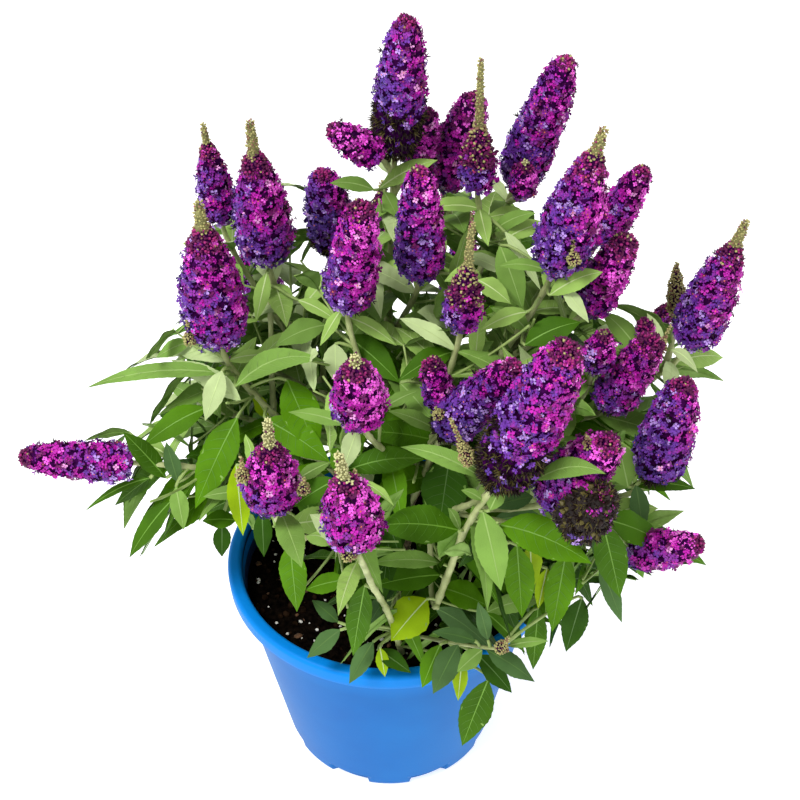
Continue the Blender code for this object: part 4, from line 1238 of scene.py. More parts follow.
def rows_of(leaf):
    """How finely a blade is made, by its length."""
    return next(rows for length, rows in BLADE_ROWS if leaf.length > length)


def make_blade(leaf, kind):
    """A leaf's toothed upper face, its paler underside, its midrib and its side veins."""
    rows = rows_of(leaf)
    s = np.linspace(0, 1, rows + 1)[:, None]
    t = np.array(BLADE_COLUMNS)[None, :].repeat(rows + 1, 0)
    tooth = np.where(np.arange(rows + 1) % 2 == 0, 1 + TOOTH, 1 - TOOTH)
    t[:, 0] *= tooth
    t[:, -1] *= tooth
    veined = leaf.length > VEINED
    top = blade_points(leaf, s, t, quilt=QUILT if veined else 0.0)
    HEAPS["leaves_" + kind].add(top, grid_faces(rows + 1, len(BLADE_COLUMNS)))
    s = np.linspace(0.01, 0.985, UNDER_ROWS + 1)[:, None]
    t = np.array(UNDER_COLUMNS)[None, :]
    HEAPS["leaf_undersides"].add(blade_points(leaf, s, t, -UNDER_GAP), grid_faces(UNDER_ROWS + 1, 3))
    make_midrib(leaf, kind)
    if veined:
        make_veins(leaf, kind)


def make_midrib(leaf, kind):
    """The pale rib along the middle of the upper face, and the stouter one under it."""
    s = np.linspace(0.0, 0.94, RIB_ROWS)[:, None]
    share = RIB_BREADTH * (1 - s) ** 0.8 + RIB_TIP_BREADTH
    share /= np.maximum(leaf.width / 2 * blade_width(s), NARROWEST)
    t = share * np.array([-1.0, 0.0, 1.0])
    ridge = np.array(leaf.face) * np.array([0, 1, 0])[:, None]
    top = blade_points(leaf, s, t, VEIN_LIFT) + ridge * RIB_HEIGHT
    HEAPS["veins_" + VEIN_OF[kind]].add(top, grid_faces(RIB_ROWS, 3))
    under = blade_points(leaf, s, -UNDER_RIB_SHARE * t, -UNDER_GAP - UNDER_RIB_GAP)
    HEAPS["leaf_undersides"].add(under - ridge * UNDER_RIB_HEIGHT, grid_faces(RIB_ROWS, 3))


def make_veins(leaf, kind):
    """Side veins, which leave the midrib in pairs and sweep forward to the edge."""
    points, faces = [], []
    reach = np.array(VEIN_REACH)
    broad = np.array(VEIN_BREADTH)
    for start in np.arange(VEINS_FROM + VEIN_PITCH / 2, VEINS_TO, VEIN_PITCH):
        middle = start + VEIN_SWEEP * reach**1.4
        for side in (-1, 1):
            strip = np.stack([middle - side * broad, middle + side * broad])
            t = side * np.broadcast_to(reach, (2, 3))
            faces.append(grid_faces(2, 3) + len(points) * 6)
            points.append(blade_points(leaf, strip, t, VEIN_LIFT, QUILT).reshape(-1, 3))
    HEAPS["sideveins_" + VEIN_OF[kind]].add(np.concatenate(points), np.concatenate(faces))


def leaf_kind(leaf, rng):
    """The colour class of a leaf: low, inner ones are deep or bright, high and young ones greyish.

    The darker greens under the crown's roof are painted shade. The paler high leaves are partly their
    own grey and partly painted light.
    """
    middle = leaf.root + leaf.ahead * leaf.length / 2
    # how far the leaf's middle lies under the crown's roof: far under it darker greens are drawn, as
    # painted shade
    shade_cover = ROOF_HEIGHT - ROOF_SLOPE * math.hypot(middle.x, middle.y) - middle.z
    age = (leaf.root.z + leaf.ahead.z * leaf.length - AGE_HEIGHT) / AGE_SPAN
    age += AGE_BY_SHARE * (leaf.up_share - 0.5) + rng.uniform(-AGE_STRAY, AGE_STRAY)
    if age > YOUNG_AGE:
        return rng.choice(YOUNG_LEAVES)
    if age > MIDDLE_AGE:
        return rng.choice(SHADED_MIDDLE_LEAVES if shade_cover > MIDDLE_SHADE_COVER else MIDDLE_LEAVES)
    return rng.choice(SHADED_OLD_LEAVES if shade_cover > DEEP_SHADE_COVER else OLD_LEAVES)


# Blooms


def level_ring(radius, sides, height):
    """Corners of a level ring around Z."""
    return [(radius * math.cos(a), radius * math.sin(a), height) for a in full_turn(sides)]


def floret_templates():
    """Open, cupped and folded-back florets: four round lobes about a throat, and the tube behind it."""
    made = []
    for side_rise, end_rise, reach in FLORET_LOBES:
        points, faces = level_ring(0.24, 4, 0.0), []
        for i in range(4):
            middle = math.pi / 2 * (i + 0.5)
            lobe = (0.82, -0.52, side_rise), (1.02, 0.0, end_rise), (0.82, 0.52, side_rise)
            for radius, swing, rise in lobe:
                angle = middle + swing
                points.append((reach * radius * math.cos(angle), reach * radius * math.sin(angle), rise))
            a, b, outer = i, (i + 1) % 4, 4 + 3 * i
            faces += [(a, outer, outer + 1), (a, outer + 1, b), (b, outer + 1, outer + 2)]
        points.append((0.0, 0.0, -1.5))
        faces += [(16, (i + 1) % 4, i) for i in range(4)]
        made.append((np.array(points), np.array(faces)))
    return made


def dry_template():
    """What is left of a spent floret and its neighbours: three thin husks that stand apart."""
    points, faces = [], []
    for i in range(3):
        turn = TURN * i / 3
        ahead = Vector((0.55 * math.cos(turn), 0.55 * math.sin(turn), 1.0)).normalized()
        side = ahead.orthogonal().normalized()
        first = len(points)
        for j in range(3):
            k = (j + 1) % 3
            points.append(0.20 * (Matrix.Rotation(TURN * j / 3, 3, ahead) @ side) + 0.5 * ahead)
            faces += [(first + j, first + k, first + 3), (first + k, first + j, first + 4)]
        points += [ahead * (1.5 + 0.25 * i), ahead * -0.4]
    return np.array([tuple(p) for p in points]), np.array(faces)


def throat_template():
    """The small square in the middle of a floret; the dark ones are painted shade in the mouth of its
    tube.
    """
    return np.array(level_ring(0.27, 4, -0.02)), np.array([(0, 1, 2), (0, 2, 3)])


def bud_template():
    """A closed bud: an egg with five sides."""
    points = [(0, 0, 1.0)] + level_ring(0.60, 5, 0.1) + [(0, 0, -0.9)]
    faces = []
    for i in range(5):
        j = (i + 1) % 5
        faces += [(0, 1 + i, 1 + j), (6, 1 + j, 1 + i)]
    return np.array(points), np.array(faces)


FLORETS = floret_templates()
THROAT = throat_template()
BUD = bud_template()
DRY = dry_template()
Spots = namedtuple("Spots", "places outward spins sizes")


def scatter(template, kind, spots, chosen):
    """Copies of a template at the chosen spots, its Z outwards, all joined in one heap."""
    if not chosen.any():
        return
    points, faces = template
    places, normals, spins, sizes = (part[chosen] for part in spots)
    side = unit(np.cross(normals, [0.28, 0.13, 0.95]))
    other = np.cross(normals, side)
    x = side * np.cos(spins)[:, None] + other * np.sin(spins)[:, None]
    y = np.cross(normals, x)
    frames = np.stack([x, y, normals], axis=1) * sizes[:, None, None]
    placed = np.einsum("vk,nkc->nvc", points, frames) + places[:, None]
    shifts = np.arange(len(places))[:, None, None] * len(points)
    HEAPS[kind].add(placed, (faces[None] + shifts).reshape(-1, faces.shape[1]))


def spike_radii(bloom, shares):
    """A spike's radius at each of these shares of its length."""
    return np.array([bloom.girth / 2 * girth_share(share, bloom.tail) for share in shares])


def surface_spots(bloom, first, last, pitch, rng):
    """Evenly spaced spots on part of a spike: shares of its length, bearings, radii and face rises."""
    shares = np.linspace(first, last, PROFILE_STEPS)
    radii = spike_radii(bloom, shares)
    if last > 0.98:
        radii[-CLOSED_STEPS:] *= np.linspace(1, 0.1, CLOSED_STEPS)
    heights = shares * bloom.length
    steps = np.hypot(np.diff(radii), np.diff(heights))
    area = np.concatenate([[0], np.cumsum((radii[1:] + radii[:-1]) / 2 * steps)])
    count = max(3, int(area[-1] * TURN / (pitch * pitch * SPOT_PACKING)))
    at = (np.arange(count) + 0.5) / count * area[-1]
    stray = SPOT_STRAY * np.interp(at, area, radii) / pitch * area[-1] / count
    at = np.clip(at + rng.normal(0, 1, count) * stray, 0, area[-1])
    spots = np.interp(at, area, shares)
    rise = np.interp(at, area, np.clip(-np.gradient(radii) / np.gradient(heights), *RISE_LIMITS))
    bearings = np.arange(count) * GOLDEN_ANGLE + rng.normal(0, BEARING_STRAY, count)
    ragged = (spots > 1 - bloom.tail) | (LOOKS[bloom.look].budding > YOUNG_BUDDING)
    lump = np.where(ragged, RAGGED_LUMP, LUMP) * np.cos(3 * bearings)
    lump *= np.cos(TURN * spots * bloom.length / LUMP_PITCH + 2 * np.sin(bearings))
    return spots, bearings, np.interp(at, area, radii) * (1 + lump), rise


def placed_on(bloom, shares, bearings, radius, rise):
    """World places and outward directions of spots on a spike."""
    turn = np.array(Vector((0, 0, 1)).rotation_difference(axis_of(bloom)).to_matrix())
    local = turned(radius, shares * bloom.length, bearings)
    outward = unit(np.stack([np.cos(bearings), np.sin(bearings), OUTWARD_RISE + rise], axis=1))
    return local @ turn.T + np.array(foot_of(bloom)), outward @ turn.T


def strayed(outward, stray, rng):
    """Directions that are each turned a little at random."""
    return unit(outward + rng.normal(0, stray, outward.shape))


def patches(places, size):
    """A slowly changing value from -1 to 1 at each place."""
    return np.array([noise.noise(Vector(p) / size + Vector((PATCH_SEED, 0, 0))) for p in places])


def spent_at(look, shares, places):
    """Whether the florets at these shares of a spike's length are over."""
    return shares < look.spent * (1 + 0.5 * patches(places, HUSK_PATCH_SIZE))


def floret_kinds(look, shares, places, outward, rng):
    """The colour class of each floret, by where it stands on its spike.

    Florets that face the lit side and those that stand high are warmer and pinker, partly painted light;
    the others are cooler violet and blue, partly painted shade.
    """
    warm = look.magenta + WARM_BY_LIT_SIDE * (outward @ np.array(WARM_LIT_SIDE))
    warm += WARM_BY_LIT_HEIGHT * (shares - 0.50) + WARM_BY_PATCH * patches(places, PATCH_SIZE)
    warm += rng.uniform(-WARM_STRAY, WARM_STRAY, len(shares))
    draw = rng.random(len(shares))
    kinds = np.full(len(shares), "florets_violet", dtype=object)
    for zone in FLORET_ZONES:
        inside = (warm > zone.above) & (warm < zone.below) & (draw >= zone.first) & (draw < zone.last)
        kinds[inside] = zone.kind
    return kinds


def make_bloom(bloom, rng):
    """A flower spike: a dark core, partly painted shade between the florets, florets all over its body,
    husks at its foot, and buds at its tip.
    """
    look = LOOKS[bloom.look]
    body = 1 - bloom.tail if bloom.tail > SHORT_TAIL else 1.0
    make_core(bloom)
    last = min(body * (1 - 0.3 * look.budding), TIP_SHARE)
    shares, bearings, radius, rise = surface_spots(bloom, FOOT_SHARE, last, FLORET_PITCH, rng)
    count = len(shares)
    radius = radius * BODY_SHARE + rng.normal(0, FLORET_UNEVENNESS, count) - FLORET_INSET
    places, outward = placed_on(bloom, shares, bearings, radius, rise)
    outward = strayed(outward, FLORET_STRAY, rng)
    kinds = floret_kinds(look, shares, places, outward, rng)
    sizes = rng.uniform(*FLORET_SIZES, count) * np.clip((body - shares) / (0.3 * body), 0.85, 1.0)
    spots = Spots(places, outward, rng.uniform(0, TURN, count), sizes)
    forms = rng.choice(len(FLORETS), count, p=FLORET_FORMS)
    in_bud = rng.random(count) < np.clip((shares - body * (1 - look.budding)) / (0.12 * body), 0, 0.85)
    gone = rng.random(count) < (DROPPED_FROM_HEAD if look.spent > HEAD_SPENT else DROPPED_FROM_FOOT)
    fresh = ~in_bud & ~(spent_at(look, shares, places) & gone)
    dry = kinds == "florets_spent"
    for kind in sorted(set(kinds) - {"florets_spent"}):
        for form, template in enumerate(FLORETS):
            scatter(template, kind, spots, (kinds == kind) & (forms == form) & fresh)
    scatter(DRY, "florets_spent", spots, dry & fresh)
    throats = (forms != CUPPED) & ~dry & fresh
    orange = rng.random(count) < ORANGE_THROATS
    scatter(THROAT, "throats_orange", spots, throats & orange)
    # dark throats: painted shade in the mouth of the floret's tube
    scatter(THROAT, "throats_dark_shade", spots, throats & ~orange)
    scatter(BUD, "buds_wine", spots._replace(sizes=sizes * FLORET_BUD_SHARE), in_bud)
    if look.spent > LEAST_SPENT:
        make_husks(bloom, look, rng)
    make_buds(bloom, look, body, rng)


def make_husks(bloom, look, rng):
    """Dry husks where a spike's lowest florets are over."""
    over = look.spent > HEAD_SPENT
    last = min(0.97, look.spent * HUSK_REACH)
    shares, bearings, radius, rise = surface_spots(bloom, 0.01, last, DRY_PITCH, rng)
    count = len(shares)
    radius = radius * BODY_SHARE * HUSK_SHARE - HUSK_INSET
    places, outward = placed_on(bloom, shares, bearings, radius, rise)
    outward = strayed(outward, HUSK_STRAY, rng)
    chosen = spent_at(look, shares, places)
    sizes = rng.uniform(*HUSK_SIZES, count) * (1.15 if over else 1.1)
    spins = rng.uniform(0, TURN, count)
    olive = rng.random(count) < OLIVE_HUSKS
    closed = rng.random(count) < (CLOSED_HUSKS if over else 0.0)
    spots = Spots(places + outward * (HUSK_SWELL * closed)[:, None], outward, spins, sizes)
    for kind, some in (("florets_spent", chosen & ~olive), ("husks_olive", chosen & olive)):
        scatter(DRY, kind, spots, some & ~closed)
        scatter(BUD, kind, spots, some & closed)


def make_buds(bloom, look, body, rng):
    """Closed buds from the top of the spike's body to its tip."""
    first = min(body * (1 - look.budding), 0.96)
    shares, bearings, radius, rise = surface_spots(bloom, first, BUD_TIP_SHARE, BUD_PITCH, rng)
    count = len(shares)
    places, outward = placed_on(bloom, shares, bearings, radius * BODY_SHARE - BUD_INSET, rise)
    outward = strayed(outward, BUD_STRAY, rng)
    sizes = rng.uniform(*BUD_SIZES, count) * np.where(shares > body, 0.72, 1.0)
    wine = rng.random(count) < np.clip((body + 0.04 - shares) / 0.08, 0.05, 1.0)
    spots = Spots(places, outward, rng.uniform(0, TURN, count), sizes)
    kinds = np.where(wine, "buds_wine", look.tail)
    kinds = np.where((kinds == "buds_wine") & (rng.random(count) < PLUM_BUDS), "buds_plum", kinds)
    green = 0.14 + 0.62 * (shares / body) ** 4 if look.budding > YOUNG_BUDDING else 0.05
    kinds = np.where(rng.random(count) < green, "buds_olive", kinds)
    kinds = np.where((kinds == "buds_olive") & (rng.random(count) < TAN_BUDS), "buds_tan", kinds)
    for kind in sorted(set(kinds)):
        scatter(BUD, str(kind), spots, kinds == kind)


def make_core(bloom):
    """The dark, lumpy inside of a spike, seen between its florets.

    Its dark purple on a blooming spike is partly the stalks' own colour, partly painted shade in the
    gaps.
    """
    shares = np.linspace(0, TIP_SHARE, CORE_ROWS)
    s, b = [grid.ravel() for grid in np.meshgrid(shares, full_turn(CORE_SIDES), indexing="ij")]
    radius = spike_radii(bloom, s) * CORE_SHARE
    radius *= 1 + 0.07 * np.cos(3 * b + 40 * s) + 0.04 * np.cos(5 * b - 90 * s)
    radius *= np.minimum(1, 0.25 + s / 0.10)
    radius[(s >= shares[-1]) | (s <= shares[0])] = 0.0001
    places, _ = placed_on(bloom, s, b, radius, 0 * s)
    rows = int(np.searchsorted(shares, 1 - bloom.tail + 0.02)) if bloom.tail > SHORT_TAIL else CORE_ROWS
    heap = "spent_cores" if LOOKS[bloom.look].spent > HEAD_SPENT else "bloom_shade_cores"
    HEAPS[heap].add(places[: rows * CORE_SIDES], grid_faces(rows, CORE_SIDES, True))
    if rows < CORE_ROWS - 1:
        tail = grid_faces(CORE_ROWS - rows + 1, CORE_SIDES, True)
        HEAPS["tail_cores"].add(places[(rows - 1) * CORE_SIDES :], tail)


# Stems, boughs and trunk


def make_stem(points, first, last, heap, sides=TUBE_SIDES):
    """A shoot with a swollen knuckle at each leaf pair."""
    points = np.array(points)
    steps = steps_along(points)
    at = np.linspace(0, steps[-1], max(STEM_ROWS, int(steps[-1] / STEM_STEP)))
    knuckle = 1 + KNUCKLE * np.exp(-((((at / HIGH_INTERNODE) % 1) - 0.5) ** 2) / KNUCKLE_WIDTH)
    radii = (first + (last - first) * at / steps[-1]) * knuckle
    tube(heap, points_along(points, steps, at), radii, sides)


def make_shoots(shoots, sprigs):
    """A mass's stem and side shoots, which reach into their spikes, and its leafy twigs."""
    for i, (end, points) in enumerate(shoots):
        radius = STEM_RADIUS if i == 0 else STEM_RADIUS * SIDE_SHOOT_SHARE
        if isinstance(end, Bloom):
            points = points + [points[-1] + axis_of(end) * end.length * STEM_INTO_SPIKE]
        make_stem(points, radius, STEM_TIP_RADIUS, "stems")
    for points in sprigs:
        make_stem(points, SPRIG_RADIUS, SPRIG_RADIUS * TWIG_TAPER, "twigs", TWIG_SIDES)


def shown_leaf(shown, rng):
    """The leaf from foot to tip as the photograph shows it, its face turned up and to the eye."""
    foot, tip = foot_and_tip(shown)
    course = tip - foot
    for _ in range(8):
        course = tip - foot + Vector((0, 0, shown.droop * course.length))
    ahead = course.normalized()
    face = (EYE - foot).normalized() * 0.75 + Vector((rng.uniform(-0.25, 0.25), 0, 0.5))
    face = (face - ahead * face.dot(ahead)).normalized()
    across = face.cross(ahead)
    twist = rng.uniform(-SHOWN_TWIST, SHOWN_TWIST)
    fold = rng.uniform(*SHOWN_FOLD)
    phase = rng.uniform(*PHASES)
    size = course.length, shown.width * SHOWN_WIDTH_SHARE
    return Leaf(foot, ahead, across, face, *size, shown.droop, twist, fold, 0.0, phase, 0.5)


def join_to_limb(place, ahead, radius, heap):
    """A twig from the nearest stem or bough to a place, which it reaches along ahead."""
    limbs = np.concatenate([LIMB_PLACES] + CARRIERS)
    above = np.maximum(0, limbs[:, 2] - place.z + JOINING_RISE)
    start = Vector(limbs[np.argmin(np.linalg.norm(limbs - np.array(place), axis=1) + 1.5 * above)])
    span = (place - start).length
    heading = (place - start) * 0.6 + Vector((0, 0, JOINING_CLIMB * span))
    shares = [i / (JOINING_POINTS - 1) for i in range(JOINING_POINTS)]
    points = [hermite(start, heading, place, ahead * span * 0.5, share) for share in shares]
    if span > SHORTEST_JOINING:
        make_stem(points, radius * JOINING_SWELL, radius, heap, JOINING_SIDES)


def make_shown(rng):
    """The leaves, stems and young buds that the photograph shows most plainly."""
    for stem in SHOWN_STEMS:
        points = [from_photo(point[:2], point.near) for point in stem.points]
        join_to_limb(points[0], (points[1] - points[0]).normalized(), stem.radius, "stems")
        make_stem(points, stem.radius, stem.tip_radius, "stems")
        CARRIERS.append(np.array([place for place, _, _ in along(points, SAMPLE_STEP / 2)]))
    for shown in SHOWN_LEAVES:
        leaf = shown_leaf(shown, rng)
        join_to_limb(leaf.root, leaf.ahead, SPRIG_RADIUS, "twigs")
        CANOPY.takes(leaf)
        make_blade(leaf, shown.kind)
    for bud in SHOWN_BUDS:
        foot, tip = foot_and_tip(bud)
        axis = (tip - foot).normalized()
        join_to_limb(foot, axis, SPRIG_RADIUS, "twigs")
        around, out = math.degrees(math.atan2(foot.y, foot.x)), math.hypot(foot.x, foot.y)
        lean, toward = math.degrees(math.acos(axis.z)), math.degrees(math.atan2(axis.y, axis.x))
        length = (tip - foot).length
        make_young(Bloom(around, out, foot.z, lean, toward, length, bud.girth, 0.5, "young"))


def make_young(bloom):
    """A spike that is all in bud."""
    rng = np.random.default_rng(round(bloom.length * 1e5))
    make_core(bloom)
    shares, bearings, radius, rise = surface_spots(bloom, 0.02, BUD_TIP_SHARE, YOUNG_PITCH, rng)
    count = len(shares)
    places, outward = placed_on(bloom, shares, bearings, radius, rise)
    outward = strayed(outward, YOUNG_STRAY, rng)
    sizes = rng.uniform(*YOUNG_SIZES, count)
    spots = Spots(places, outward, rng.uniform(0, TURN, count), sizes)
    tan = rng.random(count) < YOUNG_TAN_BUDS
    scatter(BUD, "buds_olive", spots, ~tan)
    scatter(BUD, "buds_tan", spots, tan)


def make_boughs():
    """Woody limbs with ridged bark, from the trunk's head to where the masses begin."""
    for name, bough in zip(MASSES, BOUGHS):
        points = [bough[0], bough[0] + Vector((0, 0, BOUGH_FOOT_LENGTH))] + bough[3:]
        share = np.linspace(0, 1, len(points))
        ridges = 1 + 0.06 * np.sin(share * 40 + len(name)) + 0.04 * np.sin(share * 93)
        radii = (BOUGH_FOOT_RADIUS + (BOUGH_TIP_RADIUS - BOUGH_FOOT_RADIUS) * share) * ridges
        tube("boughs_bark", points, radii, BOUGH_SIDES)


def make_trunk():
    """The woody crown, flared at the soil and knuckled where it forks, with furrowed bark."""
    foot = SOIL_TOP + SOIL_CROWN + GAP
    head = foot + TRUNK_HEIGHT
    profile = np.array([
        (TRUNK_FOOT_RADIUS, foot),
        (TRUNK_FOOT_RADIUS * 0.86, foot + 0.002),
        (TRUNK_WAIST_RADIUS * 1.14, foot + 0.006),
        (TRUNK_WAIST_RADIUS, foot + TRUNK_HEIGHT * 0.45),
        (TRUNK_HEAD_RADIUS * 0.9, head - 0.009),
        (TRUNK_HEAD_RADIUS, head - 0.006),
        (TRUNK_HEAD_RADIUS, head - 0.0015),
        (TRUNK_HEAD_RADIUS * 0.96, head),
        (0.0004, head),
    ])
    steps = steps_along(profile)
    line = points_along(profile, steps, np.linspace(0, steps[-1], TRUNK_ROWS))
    radius, height = line[:, :1], line[:, 1:]
    angles = full_turn(TRUNK_SIDES)
    ridges = 0.045 * np.sin(11 * angles + 60 * height) + 0.03 * np.sin(23 * angles - 90 * height)
    rough = radius * (1 + ridges * np.minimum(1, radius / 0.012) - 0.06)
    HEAPS["trunk_bark"].add(turned(rough, height, angles), grid_faces(TRUNK_ROWS, TRUNK_SIDES, True))


# Pot and soil


def outer_wall(height):
    """The pot's outer radius below its rim."""
    return BASE_RADIUS + (RIM_RADIUS - RIM_OVERHANG - BASE_RADIUS) * height / RIM_FOOT


def inner_wall(height):
    """(radius, height) of the wall's inside."""
    return outer_wall(height) - POT_WALL, height


def arc(centre_x, centre_z, radius, first, last, count=9):
    """Points of a round corner, from one angle to another in degrees."""
    angles = [math.radians(first + (last - first) * i / (count - 1)) for i in range(count)]
    return [(centre_x + radius * math.cos(a), centre_z + radius * math.sin(a)) for a in angles]


def pot_profile():
    """Radii and heights from the middle of the floor, up inside, over the rim and down again."""
    inside = [(0.0002, POT_FLOOR), (outer_wall(0) - THICK_CORNER, POT_FLOOR)]
    inside += [inner_wall(h) for h in np.linspace(CORNER_HEIGHT, RIM_FOOT - LEDGE_DEPTH, 12)]
    rim = arc(LIP_RADIUS + RIM_ROUND, POT_HEIGHT - RIM_ROUND, RIM_ROUND, 180, 90)
    rim += arc(RIM_RADIUS - RIM_ROUND, POT_HEIGHT - RIM_ROUND, RIM_ROUND, 90, 0)
    skirt = [(RIM_RADIUS - inset, RIM_FOOT + rise) for inset, rise in RIM_SKIRT]
    wall_head = outer_wall(RIM_FOOT)
    skirt += [(wall_head + 0.0012, RIM_FOOT - 0.0006), (wall_head, RIM_FOOT - 0.0022)]
    heights = [*np.linspace(RIM_FOOT - 0.006, NOTCH_HEIGHT + 0.001, 24)]
    heights += [NOTCH_HEIGHT + 0.0002, NOTCH_HEIGHT, 0.008, 0.005, BASE_ROUND]
    wall = [(outer_wall(h), h) for h in heights]
    base = arc(BASE_RADIUS - BASE_ROUND, BASE_ROUND, BASE_ROUND, 0, -90, 6)
    return inside + rim + skirt + wall + base + [(BASE_RADIUS - 0.012, 0.0), (0.0002, 0.0)]


def make_pot():
    """The tapered nursery pot, with its rounded ledge rim and the drain notches round its foot.
    Just inside its wall, from below the soil up to the rim, a dark navy sheet is painted shade.
    """
    profile = np.array(pot_profile())
    angles = full_turn(POT_STEPS)
    radius, height = profile[:, :1].repeat(POT_STEPS, 1), profile[:, 1:]
    bearing = (np.degrees(angles) * NOTCHES / 360 % 1 - 0.5) * 360 / NOTCHES
    notch = np.abs(np.radians(bearing)) * BASE_RADIUS < NOTCH_WIDTH / 2
    outside = np.arange(len(profile)) > len(profile) // 2
    low = (height <= NOTCH_HEIGHT) & outside[:, None] & notch
    radius = np.where(low & (radius > BASE_RADIUS - NOTCH_DEPTH), BASE_RADIUS - NOTCH_DEPTH, radius)
    HEAPS["pot_shell"].add(turned(radius, height, angles), grid_faces(len(profile), POT_STEPS, True))
    # A dark navy sheet just inside the wall, from below the soil's top up to the rim: painted shade on
    # the inner wall
    inside = [inner_wall(h) for h in (SOIL_TOP - SHADE_LINING_DEPTH, SOIL_TOP, RIM_FOOT - LEDGE_DEPTH)]
    inside = np.array(inside + [(LIP_RADIUS, RIM_FOOT), (LIP_RADIUS, POT_HEIGHT - RIM_ROUND)])
    shade_lining = turned(inside[:, :1] - SHADE_LINING_GAP, inside[:, 1:], angles)
    HEAPS["pot_shade_lining"].add(shade_lining, grid_faces(len(inside), POT_STEPS, True))


SOIL_RADIUS = outer_wall(SOIL_TOP) - POT_WALL


def on_soil(out, around, lift=0.0):
    """A place on the potting mix, which is crumbly, and a little higher in the middle."""
    x, y = out * math.cos(around), out * math.sin(around)
    lumps = sum(height * noise.noise(Vector((x, y, 0.0)) * fineness) for height, fineness in SOIL_LUMPS)
    crown = SOIL_CROWN * (1 - (math.hypot(x, y) / SOIL_RADIUS) ** 2)
    return x, y, SOIL_TOP + crown + lumps - SOIL_SINK + lift


def make_soil():
    """The potting mix, with an edge that goes down along the wall."""
    rings = np.linspace(0.001, SOIL_RADIUS - SOIL_GAP, SOIL_RINGS)
    top = np.array([[on_soil(out, around) for around in full_turn(SOIL_STEPS)] for out in rings])
    skirt = top[-1:].copy()
    skirt[..., 2] = SOIL_TOP - SOIL_DEPTH
    HEAPS["soil_bed"].add(np.concatenate([top, skirt]), grid_faces(SOIL_RINGS + 1, SOIL_STEPS, True))


def pebble(rng):
    """A small uneven lump: a ball of rings whose points go in and out."""
    sides, last = PEBBLE_SIDES, PEBBLE_SIDES * (PEBBLE_ROWS - 1)
    points, faces = [], []
    for i in range(PEBBLE_ROWS):
        tilt = math.pi * (i + 0.5) / PEBBLE_ROWS
        for j in range(sides):
            turn = TURN * (j + 0.5 * (i % 2)) / sides
            reach = 1 + rng.uniform(-PEBBLE_ROUGHNESS, PEBBLE_ROUGHNESS)
            out = reach * math.sin(tilt)
            points.append((out * math.cos(turn), out * math.sin(turn), reach * math.cos(tilt)))
    top, bottom = len(points), len(points) + 1
    points += [(0, 0, 1.0), (0, 0, -1.0)]
    for j in range(sides):
        k = (j + 1) % sides
        for row in range(0, last, sides):
            faces += [(row + j, row + j + sides, row + k + sides), (row + j, row + k + sides, row + k)]
        faces += [(top, j, k), (bottom, last + k, last + j)]
    return np.array(points), np.array(faces)


def make_soil_bits():
    """Crumbs, white perlite and slivers of bark that lie on the potting mix."""
    rng = np.random.default_rng(7)
    for bits in SOIL_BITS:
        for _ in range(bits.count):
            out = (SOIL_RADIUS - BITS_INSET) * math.sqrt(rng.uniform(0.03, 1.0))
            around = rng.uniform(0, TURN)
            if out < TRUNK_FOOT_RADIUS + BITS_CLEARANCE:
                continue
            points, faces = pebble(rng)
            size = rng.uniform(bits.small, bits.large)
            width = bits.width or rng.uniform(*SLIVER_WIDTHS)
            spin = Matrix.Rotation(rng.uniform(0, TURN), 3, "Z")
            points = points * np.array([1.0, width, bits.flatness]) * size @ np.array(spin).T
            HEAPS[bits.kind].add(points + on_soil(out, around, size * 0.3), faces)


# Materials

DRIFT_STOPS = (0.32, 0.68)
RELIEF_DEPTH = 0.0006
MATT = {"Specular_IOR_Level": 0.0}
SATIN = {"Specular_IOR_Level": 0.12}


def srgb(red, green, blue):
    """A colour of 0 to 255 as the shader takes it."""
    found = []
    for value in (red, green, blue):
        share = value / 255
        found.append(share / 12.92 if share < 0.04045 else ((share + 0.055) / 1.055) ** 2.4)
    return (*found, 1.0)


def add_node(material, kind, **inputs):
    """A shader node with some of its inputs set."""
    node = material.node_tree.nodes.new("ShaderNode" + kind)
    for socket, value in inputs.items():
        node.inputs[socket.replace("_", " ")].default_value = value
    return node


def principled(name, colour, roughness, **inputs):
    """A new material, and its shader."""
    made = bpy.data.materials.new(name)
    made.use_nodes = True
    shader = made.node_tree.nodes["Principled BSDF"]
    for socket, value in {"Base_Color": colour, "Roughness": roughness, **inputs}.items():
        shader.inputs[socket.replace("_", " ")].default_value = value
    return made, shader


def mottled(name, dark, light, roughness, scale, bump=0.0, bump_scale=0.0, detail=4.0, **inputs):
    """A material whose colour drifts between two shades, with a fine relief."""
    made, shader = principled(name, light, roughness, **inputs)
    link = made.node_tree.links.new
    place = add_node(made, "TexCoord").outputs["Object"]
    drift = add_node(made, "TexNoise", Scale=scale, Detail=detail)
    link(place, drift.inputs["Vector"])
    ramp = add_node(made, "ValToRGB")
    for stop, position, colour in zip(ramp.color_ramp.elements, DRIFT_STOPS, (dark, light)):
        stop.position = position
        stop.color = colour
    link(drift.outputs["Fac"], ramp.inputs["Fac"])
    link(ramp.outputs["Color"], shader.inputs["Base Color"])
    if bump:
        grain = add_node(made, "TexNoise", Scale=bump_scale, Detail=3.0)
        link(place, grain.inputs["Vector"])
        relief = add_node(made, "Bump", Strength=bump, Distance=RELIEF_DEPTH)
        link(grain.outputs["Fac"], relief.inputs["Height"])
        link(relief.outputs["Normal"], shader.inputs["Normal"])
    return made


